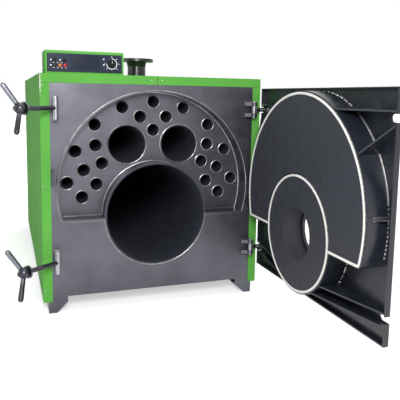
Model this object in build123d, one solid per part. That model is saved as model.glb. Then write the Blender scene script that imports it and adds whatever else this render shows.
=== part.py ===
from build123d import *
from math import atan2, cos, radians, sin, sqrt
import os

# Three-pass fire-tube hot-water boiler with its front door open.
# X runs along the front plate, Y runs into the boiler and Z rises from the floor. The pieces are
# drawn with the furnace axis at X = 0 and the front plate's face at Y = 0, and the whole is then
# set with the middle of the front left foot's sole at the origin.

# Jacket
JACKET_LENGTH = 2068
JACKET_BOTTOM = 65
INSULATION = 77.5
JACKET_SHEET = 3
FRONT_RETURN = 48
REAR_RETURN = 30
TOP_SEAM = 3
SHEET_GAP = 1
JACKET_HOLE_GAP = 6

# Front and rear plates with their feet
PLATE_SIDE_GAP = 28
PLATE_TOP_GAP = 18
PLATE_THICK = 12
PLATE_BOTTOM = 88
FOOT_TIP = 43
FOOT_SLOPE = 58
FOOT_DEPTH = 178
FOOT_PLATE = 12
FOOT_CHEEK_TOP = 170

# Pressure vessel
SHELL_OD = 1095
SHELL_WALL = 10
SHELL_Z = 665
RIM_PROUD = 4
RECESS_DEPTH = 90
SHELF_Z = 506
SHELF_PLATE = 12
TUBE_PLATE = 16
REAR_TUBE_PLATE_SETBACK = 88
WELD_GAP = 0.3

# Furnace and tubes
FURNACE_OD = 585
FURNACE_WALL = 12
FURNACE_Z = 520
RETURN_OD = 219
RETURN_WALL = 6
RETURN_RADIUS = 288
RETURN_ANGLE = 32
FIRE_OD = 70
FIRE_WALL = 3
OUTER_ROW_INSET = 51.5
MIDDLE_ROW_PITCH = 79
INNER_ROW_PITCH = 82
ROW_ANGLE = 21.5
TUBE_STAND_OUT = 4

# Reversing chamber between the furnace and the return tubes
REAR_WATER_LEG = 80
CHAMBER_DEPTH = 250
CHAMBER_WALL = 12
CHAMBER_MARGIN = 12
CHAMBER_WIDTH = 450
CHAMBER_SHOULDER_Z = 930

# Smoke box and flue
SMOKE_BOX_DEPTH = 175
SMOKE_BOX_WALL = 5
SMOKE_COVER = 8
SMOKE_COVER_LIP = 25
FLUE_OD = 250
FLUE_WALL = 4
FLUE_LENGTH = 140
FLUE_Z = 855

# Water nozzles
NOZZLE_OD = 114.3
NOZZLE_WALL = 4
FLANGE_OD = 210
FLANGE_THICK = 18
FLANGE_HUB_OD = 130
FLANGE_HUB_LENGTH = 30
FLANGE_PCD = 170
FLANGE_HOLE = 18
FLANGE_HOLES = 4
NOZZLE_RISE = 121
FLOW_Y = 510
RETURN_NOZZLE_SETBACK = 368

# Control panel
PANEL_SIDE_GAP = 31
PANEL_WIDTH = 410
PANEL_HEIGHT = 120
PANEL_DEPTH = 220
PANEL_SETBACK = 22
PANEL_FRAME = 9
PANEL_CORNER = 12
FACE_PLATE = 4
FACE_GAP = 0.3
DIAL_RADIUS = 20
DIAL_HEIGHT = 16
DIAL_FACE_GAP = 0.5
DIAL_SPINDLE = 6
DIAL_INSET = 346
DIAL_RISE = 58
KNOB_RADIUS = 10
KNOB_HEIGHT = 9
KNOB_INSET = 49
KNOB_PITCH = 49
KNOB_COUNT = 2
KNOB_RISE = 70
LAMP_RADIUS = 8
LAMP_HEIGHT = 6
LAMP_INSET = 49
LAMP_PITCH = 26
LAMP_COUNT = 3
LAMP_RISE = 43

# Door, measured with the door shut
DOOR_SIDE_GAP = 28
DOOR_TOP_GAP = 55
DOOR_BOTTOM = 183
DOOR_SHEET = 6
DOOR_EDGE = 32
DOOR_BEND = 12
SEAL_CLEARANCE = 5
ROPE_WIDTH = 13
ROPE_PROUD = 5
ROPE_ROUND = 4
PLUG_DEPTH = 108
PLUG_CORNER = 24
COLLAR_WALL = 6
COLLAR_SETBACK = 2
BURNER_HOLE = 266
PAN_HOLE = 236
BURNER_FLANGE_WIDTH = 62
BURNER_FLANGE_THICK = 10
BURNER_PCD = 320
BURNER_BOLT_HOLE = 13
BURNER_BOLTS = 4
RIB_THICK = 8
RIB_SETBACK = 6
RIB_OVERRUN = 8
UPPER_RIB_DROP = 95
GUSSET_DROP = 151
GUSSET_ANGLE = 32.5
LOWER_RIB_RISE = 83
LOWER_RIB_PITCH = 56
SMALL_RIB_RISE = 43

# Hinges and swing clamps
HINGE_PIN_INSET = 25
CLAMP_PIN_INSET = 47
PIN_Y = -40
UPPER_BOLT_DROP = 123
LOWER_BOLT_RISE = 111
PIN_RADIUS = 8
PIN_FIT = 0.05
BARREL_RADIUS = 14
HINGE_BARREL = 42
CLAMP_BARREL = 88
HINGE_EAR_THICK = 20
HINGE_EAR_ROOT = 52
HINGE_EAR_RADIUS = 18
HINGE_EAR_SETBACK = 3
RETURN_CLEARANCE = 6
CLAMP_EAR_THICK = 12
CLAMP_EAR_RADIUS = 14
EAR_GAP = 0.5
ROD_RADIUS = 12
NUT_FLATS = 36
NUT_HEIGHT = 20
WASHER_RADIUS = 22
WASHER_THICK = 4
HINGE_ROD_END = 12
SLOT_HALF = 17

# Clamps and their handle nuts
CLAMP_REST_TURN = 36
HUB_DISTANCE = 218
HUB_RADIUS = 29
HUB_DISC_RADIUS = 33
HUB_DISC_THICK = 8
ROD_REACH = 250
ARM_LENGTH = 145
ARM_LEAN = 26
ARM_ROLL = 23
ARM_ROOT = 24
ARM_ROOT_RADIUS = 11.5
ARM_TIP_RADIUS = 13.5

# Lug beside the recess that centres the door's collar
LUG_GAP = 12.5
LUG_WIDTH = 14
LUG_LOW = 705
LUG_HIGH = 790
LUG_DEPTH = 30

SHELL_RADIUS = SHELL_OD / 2
SHELL_BORE = SHELL_RADIUS - SHELL_WALL
JACKET_HALF = SHELL_RADIUS + INSULATION
JACKET_TOP = SHELL_Z + SHELL_RADIUS + INSULATION
PLATE_HALF = JACKET_HALF - PLATE_SIDE_GAP
PLATE_TOP = JACKET_TOP - PLATE_TOP_GAP
SOLE_X = PLATE_HALF - FOOT_TIP / 2
SOLE_Y = PLATE_THICK + FOOT_DEPTH / 2
FURNACE_RADIUS = FURNACE_OD / 2
RETURN_OUTER = RETURN_OD / 2
FIRE_OUTER = FIRE_OD / 2
SHELF_LOW = SHELF_Z - SHELF_PLATE / 2
SHELF_HIGH = SHELF_Z + SHELF_PLATE / 2
REAR_PANEL_Y = JACKET_LENGTH - 2 * JACKET_SHEET
REAR_PLATE_Y = REAR_PANEL_Y - PLATE_THICK
REAR_TUBE_PLATE_Y = JACKET_LENGTH - REAR_TUBE_PLATE_SETBACK
CHAMBER_Y = REAR_TUBE_PLATE_Y - REAR_WATER_LEG - CHAMBER_DEPTH
SMOKE_BOX_END = JACKET_LENGTH + SMOKE_BOX_DEPTH
FLANGE_TOP = JACKET_TOP + NOZZLE_RISE
RETURN_NOZZLE_Y = JACKET_LENGTH - RETURN_NOZZLE_SETBACK
PANEL_LEFT = PANEL_SIDE_GAP - JACKET_HALF
DOOR_HALF = JACKET_HALF - DOOR_SIDE_GAP
DOOR_TOP = JACKET_TOP - DOOR_TOP_GAP
HINGE_PIN_X = DOOR_HALF - HINGE_PIN_INSET
CLAMP_PIN_X = CLAMP_PIN_INSET - DOOR_HALF
BOLT_ZS = (DOOR_TOP - UPPER_BOLT_DROP, DOOR_BOTTOM + LOWER_BOLT_RISE)
ROPE_FRONT = -RIM_PROUD - SEAL_CLEARANCE
ROPE_BACK = ROPE_FRONT - ROPE_WIDTH
PLUG_FACE = ROPE_FRONT - ROPE_PROUD
COLLAR_FRONT = PLUG_FACE - COLLAR_SETBACK
DOOR_INSIDE = PLUG_FACE - PLUG_DEPTH
DOOR_OUTSIDE = DOOR_INSIDE - DOOR_SHEET
DOOR_LIP = DOOR_OUTSIDE + DOOR_EDGE
SHELL_SEAL_RADIUS = SHELL_RADIUS - SHELL_WALL / 2
FURNACE_SEAL_RADIUS = FURNACE_RADIUS - FURNACE_WALL / 2


def block(x0, x1, y0, y1, z0, z1):
    """A box between two corners."""
    return Pos((x0 + x1) / 2, (y0 + y1) / 2, (z0 + z1) / 2) * Box(x1 - x0, y1 - y0, z1 - z0)


def rod_y(radius, y0, y1, x=0, z=0):
    """A round bar along Y."""
    return Pos(x, (y0 + y1) / 2, z) * Rot(90, 0, 0) * Cylinder(radius, y1 - y0)


def rod_x(radius, x0, x1, y=0, z=0):
    """A round bar along X."""
    return Pos((x0 + x1) / 2, y, z) * Rot(0, 90, 0) * Cylinder(radius, x1 - x0)


def rod_z(radius, z0, z1, x=0, y=0):
    """A round bar along Z."""
    return Pos(x, y, (z0 + z1) / 2) * Cylinder(radius, z1 - z0)


def pipe_y(outer, wall, y0, y1, x=0, z=0):
    """A pipe along Y."""
    return rod_y(outer, y0, y1, x, z) - rod_y(outer - wall, y0 - 1, y1 + 1, x, z)


def polygon(*points):
    """A flat shape with straight sides."""
    return make_face(Polyline(*points, close=True))


def prism_y(face, y0, y1):
    """A flat shape drawn in X and Z, made thick from y0 to y1."""
    return extrude(Plane.XZ.offset(-y1) * face, amount=y1 - y0)


def prism_z(face, z0, z1):
    """A flat shape drawn in X and Y, made thick from z0 to z1."""
    return extrude(Plane.XY.offset(z0) * face, amount=z1 - z0)


def both_sides(shape):
    """A shape and its mirror image across the middle of the boiler."""
    return [shape, mirror(shape, about=Plane.YZ)]


def row_centres(radius, step, places):
    """Centres on both sides of the shell's vertical middle line, at multiples of an angle from it."""
    centres = []
    for place in places:
        angle = radians(step * place)
        sides = (1,) if place == 0 else (1, -1)
        for side in sides:
            centres.append((side * radius * sin(angle), SHELL_Z + radius * cos(angle)))
    return centres


OUTER_ROW_RADIUS = SHELL_BORE - OUTER_ROW_INSET
MIDDLE_ROW_RADIUS = OUTER_ROW_RADIUS - MIDDLE_ROW_PITCH
INNER_ROW_RADIUS = MIDDLE_ROW_RADIUS - INNER_ROW_PITCH
OUTER_ROW = row_centres(OUTER_ROW_RADIUS, ROW_ANGLE, (0, 1, 2, 3, 4))
MIDDLE_ROW = row_centres(MIDDLE_ROW_RADIUS, ROW_ANGLE, (0.5, 2.5, 3.5, 4.5))
INNER_ROW = row_centres(INNER_ROW_RADIUS, ROW_ANGLE, (0, 3, 4))
RETURN_CENTRES = row_centres(RETURN_RADIUS, RETURN_ANGLE, (1,))


def horseshoe(radius, bottom, corner, y0, y1):
    """Upper part of a disc about the shell's axis, closed by a level edge with round corners."""
    drop = bottom + corner - SHELL_Z
    reach = radius - corner
    corner_x = sqrt(reach ** 2 - drop ** 2)
    arc_x = corner_x * radius / reach
    arc_z = SHELL_Z + drop * radius / reach
    bend = (atan2(drop, corner_x) - radians(90)) / 2
    bend_x = corner_x + corner * cos(bend)
    bend_z = bottom + corner + corner * sin(bend)
    outline = Wire([
        Line((-corner_x, bottom), (corner_x, bottom)),
        ThreePointArc((corner_x, bottom), (bend_x, bend_z), (arc_x, arc_z)),
        ThreePointArc((arc_x, arc_z), (0, SHELL_Z + radius), (-arc_x, arc_z)),
        ThreePointArc((-arc_x, arc_z), (-bend_x, bend_z), (-corner_x, bottom)),
    ])
    return prism_y(make_face(outline), y0, y1)


def make_jacket():
    """Side sheets, top covers and rear panel, each with its folded returns."""
    sheet = JACKET_SHEET
    edge = JACKET_HALF
    side_top = JACKET_TOP - sheet - SHEET_GAP
    return_top = JACKET_TOP - FRONT_RETURN - SHEET_GAP
    side = block(edge - sheet, edge, 0, JACKET_LENGTH, JACKET_BOTTOM, side_top)
    side += block(edge - FRONT_RETURN, edge, -sheet, 0, JACKET_BOTTOM, return_top)
    side += block(edge - REAR_RETURN, edge, JACKET_LENGTH - sheet, JACKET_LENGTH, JACKET_BOTTOM, side_top)
    seam = TOP_SEAM / 2
    top = block(seam, edge, -sheet, JACKET_LENGTH, JACKET_TOP - sheet, JACKET_TOP)
    top += block(seam, edge, -sheet, 0, JACKET_TOP - FRONT_RETURN, JACKET_TOP)
    top += block(seam, edge - REAR_RETURN - SHEET_GAP, JACKET_LENGTH - sheet, JACKET_LENGTH,
                 JACKET_TOP - REAR_RETURN, JACKET_TOP)
    for y in (FLOW_Y, RETURN_NOZZLE_Y):
        top -= rod_z(NOZZLE_OD / 2 + JACKET_HOLE_GAP, JACKET_TOP - 2 * sheet, JACKET_TOP + 1, 0, y)
    inset = edge - sheet - SHEET_GAP
    rear = block(-inset, inset, REAR_PANEL_Y, REAR_PANEL_Y + sheet, JACKET_BOTTOM, side_top)
    rear -= rod_y(SHELL_RADIUS + JACKET_HOLE_GAP, REAR_PANEL_Y - 1, JACKET_LENGTH, 0, SHELL_Z)
    right_side, left_side = both_sides(side)
    right_top, left_top = both_sides(top)
    return {
        "jacket_right": right_side,
        "jacket_left": left_side,
        "jacket_top_right": right_top,
        "jacket_top_left": left_top,
        "jacket_rear": rear,
    }


def plate_with_feet(y0):
    """An end plate whose lower corners run down to the floor as feet."""
    tip = PLATE_HALF - FOOT_TIP
    inner = tip - FOOT_SLOPE
    right = [(inner, PLATE_BOTTOM), (inner, FOOT_SLOPE), (tip, 0), (PLATE_HALF, 0), (PLATE_HALF, PLATE_TOP)]
    left = [(-x, z) for x, z in reversed(right)]
    return prism_y(polygon(*right, *left), y0, y0 + PLATE_THICK)


def make_feet(y0, inward):
    """Sole, outer cheek and end gusset behind each foot of an end plate."""
    y1 = y0 + inward * FOOT_DEPTH
    end = y1 - inward * FOOT_PLATE
    tip = PLATE_HALF - FOOT_TIP
    inner = tip - FOOT_SLOPE
    low, high = sorted((y0, y1))
    foot = block(tip, PLATE_HALF, low, high, 0, FOOT_PLATE)
    foot += block(PLATE_HALF - FOOT_PLATE, PLATE_HALF, low, high, 0, FOOT_CHEEK_TOP)
    gusset = polygon((tip, 0), (PLATE_HALF, 0), (PLATE_HALF, FOOT_CHEEK_TOP), (inner, PLATE_BOTTOM),
                     (inner, FOOT_SLOPE))
    foot += prism_y(gusset, *sorted((end, y1)))
    return Compound(both_sides(foot))


def make_front():
    """Front plate with the horseshoe opening, shelves, tube plate and lug."""
    half = PLATE_HALF
    back = PLATE_THICK + 1
    opening = rod_y(SHELL_RADIUS + WELD_GAP, -1, back, 0, SHELL_Z)
    opening -= block(-half, half, -2, back + 1, 0, SHELF_LOW - WELD_GAP)
    plate = plate_with_feet(0) - opening
    plate -= rod_y(FURNACE_RADIUS + WELD_GAP, -1, back, 0, FURNACE_Z)
    recess_back = RECESS_DEPTH + TUBE_PLATE
    around_furnace = rod_y(FURNACE_RADIUS + WELD_GAP, -RIM_PROUD - 1, recess_back + 1, 0, FURNACE_Z)
    shelf = block(0, SHELL_BORE, -RIM_PROUD, RECESS_DEPTH, SHELF_LOW, SHELF_HIGH)
    shelf &= rod_y(SHELL_BORE - WELD_GAP, -RIM_PROUD - 1, recess_back, 0, SHELL_Z)
    shelf -= around_furnace
    tube_plate = rod_y(SHELL_BORE - WELD_GAP, RECESS_DEPTH, recess_back, 0, SHELL_Z)
    tube_plate -= block(-half, half, RECESS_DEPTH - 1, recess_back + 1, 0, SHELF_LOW)
    tube_plate -= around_furnace
    for x, z in RETURN_CENTRES:
        tube_plate -= rod_y(RETURN_OUTER + WELD_GAP, RECESS_DEPTH - 1, recess_back + 1, x, z)
    for x, z in OUTER_ROW + MIDDLE_ROW + INNER_ROW:
        tube_plate -= rod_y(FIRE_OUTER + WELD_GAP, RECESS_DEPTH - 1, recess_back + 1, x, z)
    lug_edge = -SHELL_RADIUS - LUG_GAP
    return {
        "front_plate": plate,
        "recess_shelves": Compound(both_sides(shelf)),
        "tube_plate": tube_plate,
        "centring_lug": block(lug_edge - LUG_WIDTH, lug_edge, -LUG_DEPTH, 0, LUG_LOW, LUG_HIGH),
    }


def make_vessel():
    """Shell, furnace, tubes and the plates at the rear."""
    shell = pipe_y(SHELL_RADIUS, SHELL_WALL, PLATE_THICK, JACKET_LENGTH, 0, SHELL_Z)
    rim = pipe_y(SHELL_RADIUS, SHELL_WALL, -RIM_PROUD, PLATE_THICK, 0, SHELL_Z)
    rim -= block(-SHELL_OD, SHELL_OD, -RIM_PROUD - 1, PLATE_THICK + 1, 0, SHELF_LOW)
    shell += rim
    for y in (FLOW_Y, RETURN_NOZZLE_Y):
        shell -= rod_z(NOZZLE_OD / 2 - NOZZLE_WALL, SHELL_Z, JACKET_TOP, 0, y)
    rear_back = REAR_TUBE_PLATE_Y + TUBE_PLATE
    rear_tube_plate = rod_y(SHELL_BORE - WELD_GAP, REAR_TUBE_PLATE_Y, rear_back, 0, SHELL_Z)
    for x, z in OUTER_ROW + MIDDLE_ROW + INNER_ROW:
        rear_tube_plate -= rod_y(FIRE_OUTER + WELD_GAP, REAR_TUBE_PLATE_Y - 1, rear_back + 1, x, z)
    rear_plate = plate_with_feet(REAR_PLATE_Y)
    rear_plate -= rod_y(SHELL_RADIUS + WELD_GAP, REAR_PLATE_Y - 1, REAR_PANEL_Y + 1, 0, SHELL_Z)
    tube_start = RECESS_DEPTH - TUBE_STAND_OUT
    tube_end = rear_back + TUBE_STAND_OUT
    chamber_inside = CHAMBER_Y + CHAMBER_WALL

    def tubes(outer, wall, end, centres):
        return Compound([pipe_y(outer, wall, tube_start, end, x, z) for x, z in centres])

    return {
        "shell": shell,
        "rear_tube_plate": rear_tube_plate,
        "rear_plate": rear_plate,
        "furnace_tube": pipe_y(FURNACE_RADIUS, FURNACE_WALL, -RIM_PROUD, chamber_inside, 0, FURNACE_Z),
        "return_tubes": tubes(RETURN_OUTER, RETURN_WALL, chamber_inside, RETURN_CENTRES),
        "fire_tubes_outer": tubes(FIRE_OUTER, FIRE_WALL, tube_end, OUTER_ROW),
        "fire_tubes_middle": tubes(FIRE_OUTER, FIRE_WALL, tube_end, MIDDLE_ROW),
        "fire_tubes_inner": tubes(FIRE_OUTER, FIRE_WALL, tube_end, INNER_ROW),
    }


def chamber_form(inset, y0, y1):
    """Outline of the reversing chamber: furnace, return tubes and the box between them."""
    form = rod_y(FURNACE_RADIUS + CHAMBER_MARGIN - inset, y0, y1, 0, FURNACE_Z)
    half = CHAMBER_WIDTH / 2 - inset
    form += block(-half, half, y0, y1, FURNACE_Z, CHAMBER_SHOULDER_Z - inset)
    for x, z in RETURN_CENTRES:
        form += rod_y(RETURN_OUTER + CHAMBER_MARGIN - inset, y0, y1, x, z)
    return form


def make_rear():
    """Reversing chamber, smoke box, its cover and the flue outlet."""
    front_wall = CHAMBER_Y + CHAMBER_WALL
    chamber_end = CHAMBER_Y + CHAMBER_DEPTH
    chamber = chamber_form(0, CHAMBER_Y, chamber_end)
    chamber -= chamber_form(CHAMBER_WALL, front_wall, chamber_end - CHAMBER_WALL)
    chamber -= rod_y(FURNACE_RADIUS + WELD_GAP, CHAMBER_Y - 1, front_wall, 0, FURNACE_Z)
    for x, z in RETURN_CENTRES:
        chamber -= rod_y(RETURN_OUTER + WELD_GAP, CHAMBER_Y - 1, front_wall, x, z)
    cover_radius = SHELL_RADIUS + SMOKE_COVER_LIP
    smoke_box = pipe_y(SHELL_RADIUS, SMOKE_BOX_WALL, JACKET_LENGTH, SMOKE_BOX_END, 0, SHELL_Z)
    smoke_box += pipe_y(cover_radius, SMOKE_COVER_LIP, SMOKE_BOX_END - SMOKE_COVER, SMOKE_BOX_END, 0, SHELL_Z)
    cover_end = SMOKE_BOX_END + SMOKE_COVER
    cover = rod_y(cover_radius, SMOKE_BOX_END, cover_end, 0, SHELL_Z)
    cover -= rod_y(FLUE_OD / 2 - FLUE_WALL, SMOKE_BOX_END - 1, cover_end + 1, 0, FLUE_Z)
    return {
        "reversing_chamber": chamber,
        "smoke_box": smoke_box,
        "smoke_box_cover": cover,
        "flue_outlet": pipe_y(FLUE_OD / 2, FLUE_WALL, cover_end, cover_end + FLUE_LENGTH, 0, FLUE_Z),
    }


def make_nozzle(y):
    """A welding-neck flange on a pipe that is set on the shell."""
    bore = NOZZLE_OD / 2 - NOZZLE_WALL
    under_flange = FLANGE_TOP - FLANGE_THICK
    neck = under_flange - FLANGE_HUB_LENGTH
    profile = polygon((bore, SHELL_Z), (bore, FLANGE_TOP), (FLANGE_OD / 2, FLANGE_TOP),
                      (FLANGE_OD / 2, under_flange), (FLANGE_HUB_OD / 2, under_flange),
                      (NOZZLE_OD / 2, neck), (NOZZLE_OD / 2, SHELL_Z))
    nozzle = revolve(Plane.XZ * profile, axis=Axis.Z)
    for index in range(FLANGE_HOLES):
        turn = (index + 0.5) * 360 / FLANGE_HOLES
        nozzle -= Rot(0, 0, turn) * rod_z(FLANGE_HOLE / 2, under_flange - 1, FLANGE_TOP + 1, FLANGE_PCD / 2, 0)
    return Pos(0, y, 0) * nozzle - rod_y(SHELL_RADIUS, y - FLANGE_OD, y + FLANGE_OD, 0, SHELL_Z)


def make_panel():
    """Control panel on the jacket: housing, face plate, thermostat dial, knobs and lamps."""
    x0 = PANEL_LEFT
    x1 = PANEL_LEFT + PANEL_WIDTH
    z0 = JACKET_TOP
    z1 = JACKET_TOP + PANEL_HEIGHT
    y0 = PANEL_SETBACK
    y1 = PANEL_SETBACK + PANEL_DEPTH
    side = polygon((y0, z0), (y0, z1 - PANEL_CORNER), (y0 + PANEL_CORNER, z1), (y1, z1), (y1, z0))
    housing = extrude(Plane.YZ.offset(x0) * side, amount=PANEL_WIDTH)
    housing -= block(x0 + PANEL_FRAME, x1 - PANEL_FRAME, y0 - 1, y0 + FACE_PLATE,
                     z0 + PANEL_FRAME, z1 - PANEL_FRAME - PANEL_CORNER / 2)
    inset = PANEL_FRAME + FACE_GAP
    face = block(x0 + inset, x1 - inset, y0, y0 + FACE_PLATE, z0 + inset, z1 - inset - PANEL_CORNER / 2)
    dial_x = x0 + DIAL_INSET
    dial_z = z0 + DIAL_RISE
    face -= rod_y(DIAL_SPINDLE + PIN_FIT, y0 - 1, y0 + FACE_PLATE + 1, dial_x, dial_z)
    grip = rod_y(DIAL_RADIUS, y0 - DIAL_HEIGHT, y0 - DIAL_FACE_GAP, dial_x, dial_z)
    grip = chamfer(grip.faces().sort_by(Axis.Y)[0].edges(), DIAL_RADIUS / 8)
    dial = grip + rod_y(DIAL_SPINDLE, y0 - DIAL_HEIGHT / 2, y0 + FACE_PLATE - DIAL_FACE_GAP, dial_x, dial_z)
    knobs = []
    for index in range(KNOB_COUNT):
        x = x0 + KNOB_INSET + index * KNOB_PITCH
        knobs.append(rod_y(KNOB_RADIUS, y0 - KNOB_HEIGHT, y0, x, z0 + KNOB_RISE))
    lamps = []
    for index in range(LAMP_COUNT):
        x = x0 + LAMP_INSET + index * LAMP_PITCH
        lamps.append(rod_y(LAMP_RADIUS, y0 - LAMP_HEIGHT, y0, x, z0 + LAMP_RISE))
    return {
        "panel_housing": housing,
        "panel_face": face,
        "thermostat_dial": dial,
        "panel_knobs": Compound(knobs),
        "panel_lamps": Compound(lamps),
    }


def make_brackets():
    """Ears on the front plate and the pins through them."""
    root = JACKET_HALF - FRONT_RETURN - HINGE_EAR_SETBACK
    nose = HINGE_PIN_X + HINGE_EAR_RADIUS
    tail = HINGE_PIN_X - HINGE_EAR_RADIUS
    hinge_ear = polygon((root - HINGE_EAR_ROOT, 0), (root, 0), (root, -RETURN_CLEARANCE),
                        (nose, -RETURN_CLEARANCE), (nose, PIN_Y), (tail, PIN_Y),
                        (root - HINGE_EAR_ROOT, -HINGE_EAR_RADIUS))
    clamp_ear = Pos(CLAMP_PIN_X, PIN_Y / 2) * Rectangle(2 * CLAMP_EAR_RADIUS, -PIN_Y)
    sets = {
        "hinge": (hinge_ear, HINGE_PIN_X, HINGE_EAR_RADIUS, HINGE_BARREL, HINGE_EAR_THICK),
        "clamp": (clamp_ear, CLAMP_PIN_X, CLAMP_EAR_RADIUS, CLAMP_BARREL, CLAMP_EAR_THICK),
    }
    made = {}
    for name, (outline, x, radius, barrel, thick) in sets.items():
        ears = []
        pins = []
        inner = barrel / 2 + EAR_GAP
        for z in BOLT_ZS:
            for low in (z + inner, z - inner - thick):
                ear = prism_z(outline, low, low + thick) + rod_z(radius, low, low + thick, x, PIN_Y)
                ears.append(ear - rod_z(PIN_RADIUS + PIN_FIT, low - 1, low + thick + 1, x, PIN_Y))
            pins.append(rod_z(PIN_RADIUS, z - inner - thick, z + inner + thick, x, PIN_Y))
        made[name + "_ears"] = Compound(ears)
        made[name + "_pins"] = Compound(pins)
    return made


def make_door_pan():
    """Folded door sheet with clamp slots in both edges and the burner hole."""
    pan = block(-DOOR_HALF, DOOR_HALF, DOOR_OUTSIDE, DOOR_LIP, DOOR_BOTTOM, DOOR_TOP)
    pan = fillet(pan.faces().sort_by(Axis.Y)[0].edges(), DOOR_BEND)
    pan -= door_cavity()
    pan -= rod_y(PAN_HOLE / 2, DOOR_OUTSIDE - 1, DOOR_INSIDE + 1, 0, FURNACE_Z)
    slot_x = -CLAMP_PIN_X
    for z in BOLT_ZS:
        slot = block(slot_x, DOOR_HALF + 1, DOOR_OUTSIDE - 1, DOOR_LIP + 1, z - SLOT_HALF, z + SLOT_HALF)
        slot += rod_y(SLOT_HALF, DOOR_OUTSIDE - 1, DOOR_LIP + 1, slot_x, z)
        for one in both_sides(slot):
            pan -= one
    return pan


def door_cavity():
    """The space inside the door's folded edge."""
    inside = DOOR_HALF - DOOR_SHEET
    return block(-inside, inside, DOOR_INSIDE, 0, DOOR_BOTTOM + DOOR_SHEET, DOOR_TOP - DOOR_SHEET)


def make_plug():
    """Collars, refractory and seal ropes on the inside of the door."""
    rope_out = SHELL_SEAL_RADIUS + ROPE_WIDTH / 2
    rope_in = SHELL_SEAL_RADIUS - ROPE_WIDTH / 2
    rope_low = SHELF_Z - ROPE_WIDTH / 2
    rope_high = SHELF_Z + ROPE_WIDTH / 2
    collar_out = rope_out + COLLAR_WALL
    rope_corner = PLUG_CORNER - COLLAR_WALL
    inner_corner = rope_corner - ROPE_WIDTH
    ring_out = FURNACE_SEAL_RADIUS + ROPE_WIDTH / 2
    ring_in = FURNACE_SEAL_RADIUS - ROPE_WIDTH / 2
    ring_collar_out = ring_out + COLLAR_WALL
    behind = DOOR_INSIDE - 1
    around_ring = rod_y(ring_collar_out + WELD_GAP, behind, 0, 0, FURNACE_Z)
    burner_hole = rod_y(BURNER_HOLE / 2, behind, 0, 0, FURNACE_Z)

    collar = horseshoe(collar_out, rope_low - COLLAR_WALL, PLUG_CORNER, DOOR_INSIDE, COLLAR_FRONT)
    collar -= horseshoe(rope_out, rope_low, rope_corner, behind, 0)
    lining = horseshoe(rope_out, rope_low, rope_corner, DOOR_INSIDE, ROPE_BACK)
    lining += horseshoe(rope_in, rope_high, inner_corner, ROPE_BACK, PLUG_FACE)
    rope = horseshoe(rope_out, rope_low, rope_corner, ROPE_BACK, ROPE_FRONT)
    rope -= horseshoe(rope_in, rope_high, inner_corner, ROPE_BACK - 1, 0)
    rope = fillet(rope.faces().sort_by(Axis.Y)[-1].edges(), ROPE_ROUND)

    burner_block = rod_y(ring_out, DOOR_INSIDE, ROPE_BACK, 0, FURNACE_Z)
    burner_block += rod_y(ring_in, ROPE_BACK, PLUG_FACE, 0, FURNACE_Z)
    ring_rope = pipe_y(ring_out, ROPE_WIDTH, ROPE_BACK, ROPE_FRONT, 0, FURNACE_Z)
    ring_rope = fillet(ring_rope.faces().sort_by(Axis.Y)[-1].edges(), ROPE_ROUND)
    return {
        "plug_collar": collar - around_ring,
        "plug_lining": lining - around_ring,
        "plug_rope": rope - around_ring,
        "burner_collar": pipe_y(ring_collar_out, COLLAR_WALL, DOOR_INSIDE, COLLAR_FRONT, 0, FURNACE_Z),
        "burner_block": burner_block - burner_hole,
        "burner_rope": ring_rope,
    }


def make_ribs():
    """Stiffeners from the door's edge to the collars, deeper where they meet the collars."""
    plug_radius = SHELL_SEAL_RADIUS + ROPE_WIDTH / 2 + COLLAR_WALL + WELD_GAP
    ring_radius = FURNACE_SEAL_RADIUS + ROPE_WIDTH / 2 + COLLAR_WALL + WELD_GAP
    plug_low = SHELF_Z - ROPE_WIDTH / 2 - COLLAR_WALL
    collars = horseshoe(plug_radius, plug_low, PLUG_CORNER, DOOR_INSIDE - 1, 0)
    collars += rod_y(ring_radius, DOOR_INSIDE - 1, 0, 0, FURNACE_Z)
    inside = DOOR_HALF - DOOR_SHEET
    high = PLUG_FACE - RIB_SETBACK

    def rib(start, end):
        run = sqrt((end[0] - start[0]) ** 2 + (end[1] - start[1]) ** 2)
        along = Vector((end[0] - start[0]) / run, 0, (end[1] - start[1]) / run)
        across = Vector(-along.Z, 0, along.X)
        shape = polygon((-RIB_THICK, DOOR_INSIDE), (-RIB_THICK, DOOR_LIP), (0, DOOR_LIP), (run, high),
                        (run + RIB_OVERRUN, high), (run + RIB_OVERRUN, DOOR_INSIDE))
        frame = Plane(origin=(start[0], 0, start[1]), x_dir=along, z_dir=across)
        if frame.y_dir.Y < 0:
            frame = Plane(origin=frame.origin, x_dir=along, z_dir=-across)
        made = extrude(frame * shape, amount=RIB_THICK / 2, both=True)
        return made & door_cavity() - collars

    def level_rib(z, radius, centre_z):
        return rib((inside, z), (sqrt(radius ** 2 - (z - centre_z) ** 2), z))

    gusset_end = (plug_radius * cos(radians(GUSSET_ANGLE)), SHELL_Z + plug_radius * sin(radians(GUSSET_ANGLE)))
    upper = []
    for made in (level_rib(DOOR_TOP - UPPER_RIB_DROP, plug_radius, SHELL_Z),
                 rib((inside, DOOR_TOP - GUSSET_DROP), gusset_end),
                 level_rib(SHELL_Z + SMALL_RIB_RISE, plug_radius, SHELL_Z)):
        upper += both_sides(made)
    lower = []
    for z in (DOOR_BOTTOM + LOWER_RIB_RISE, DOOR_BOTTOM + LOWER_RIB_RISE + LOWER_RIB_PITCH):
        lower += both_sides(level_rib(z, ring_radius, FURNACE_Z))
    return {"door_ribs_upper": Compound(upper), "door_ribs_lower": Compound(lower)}


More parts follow.
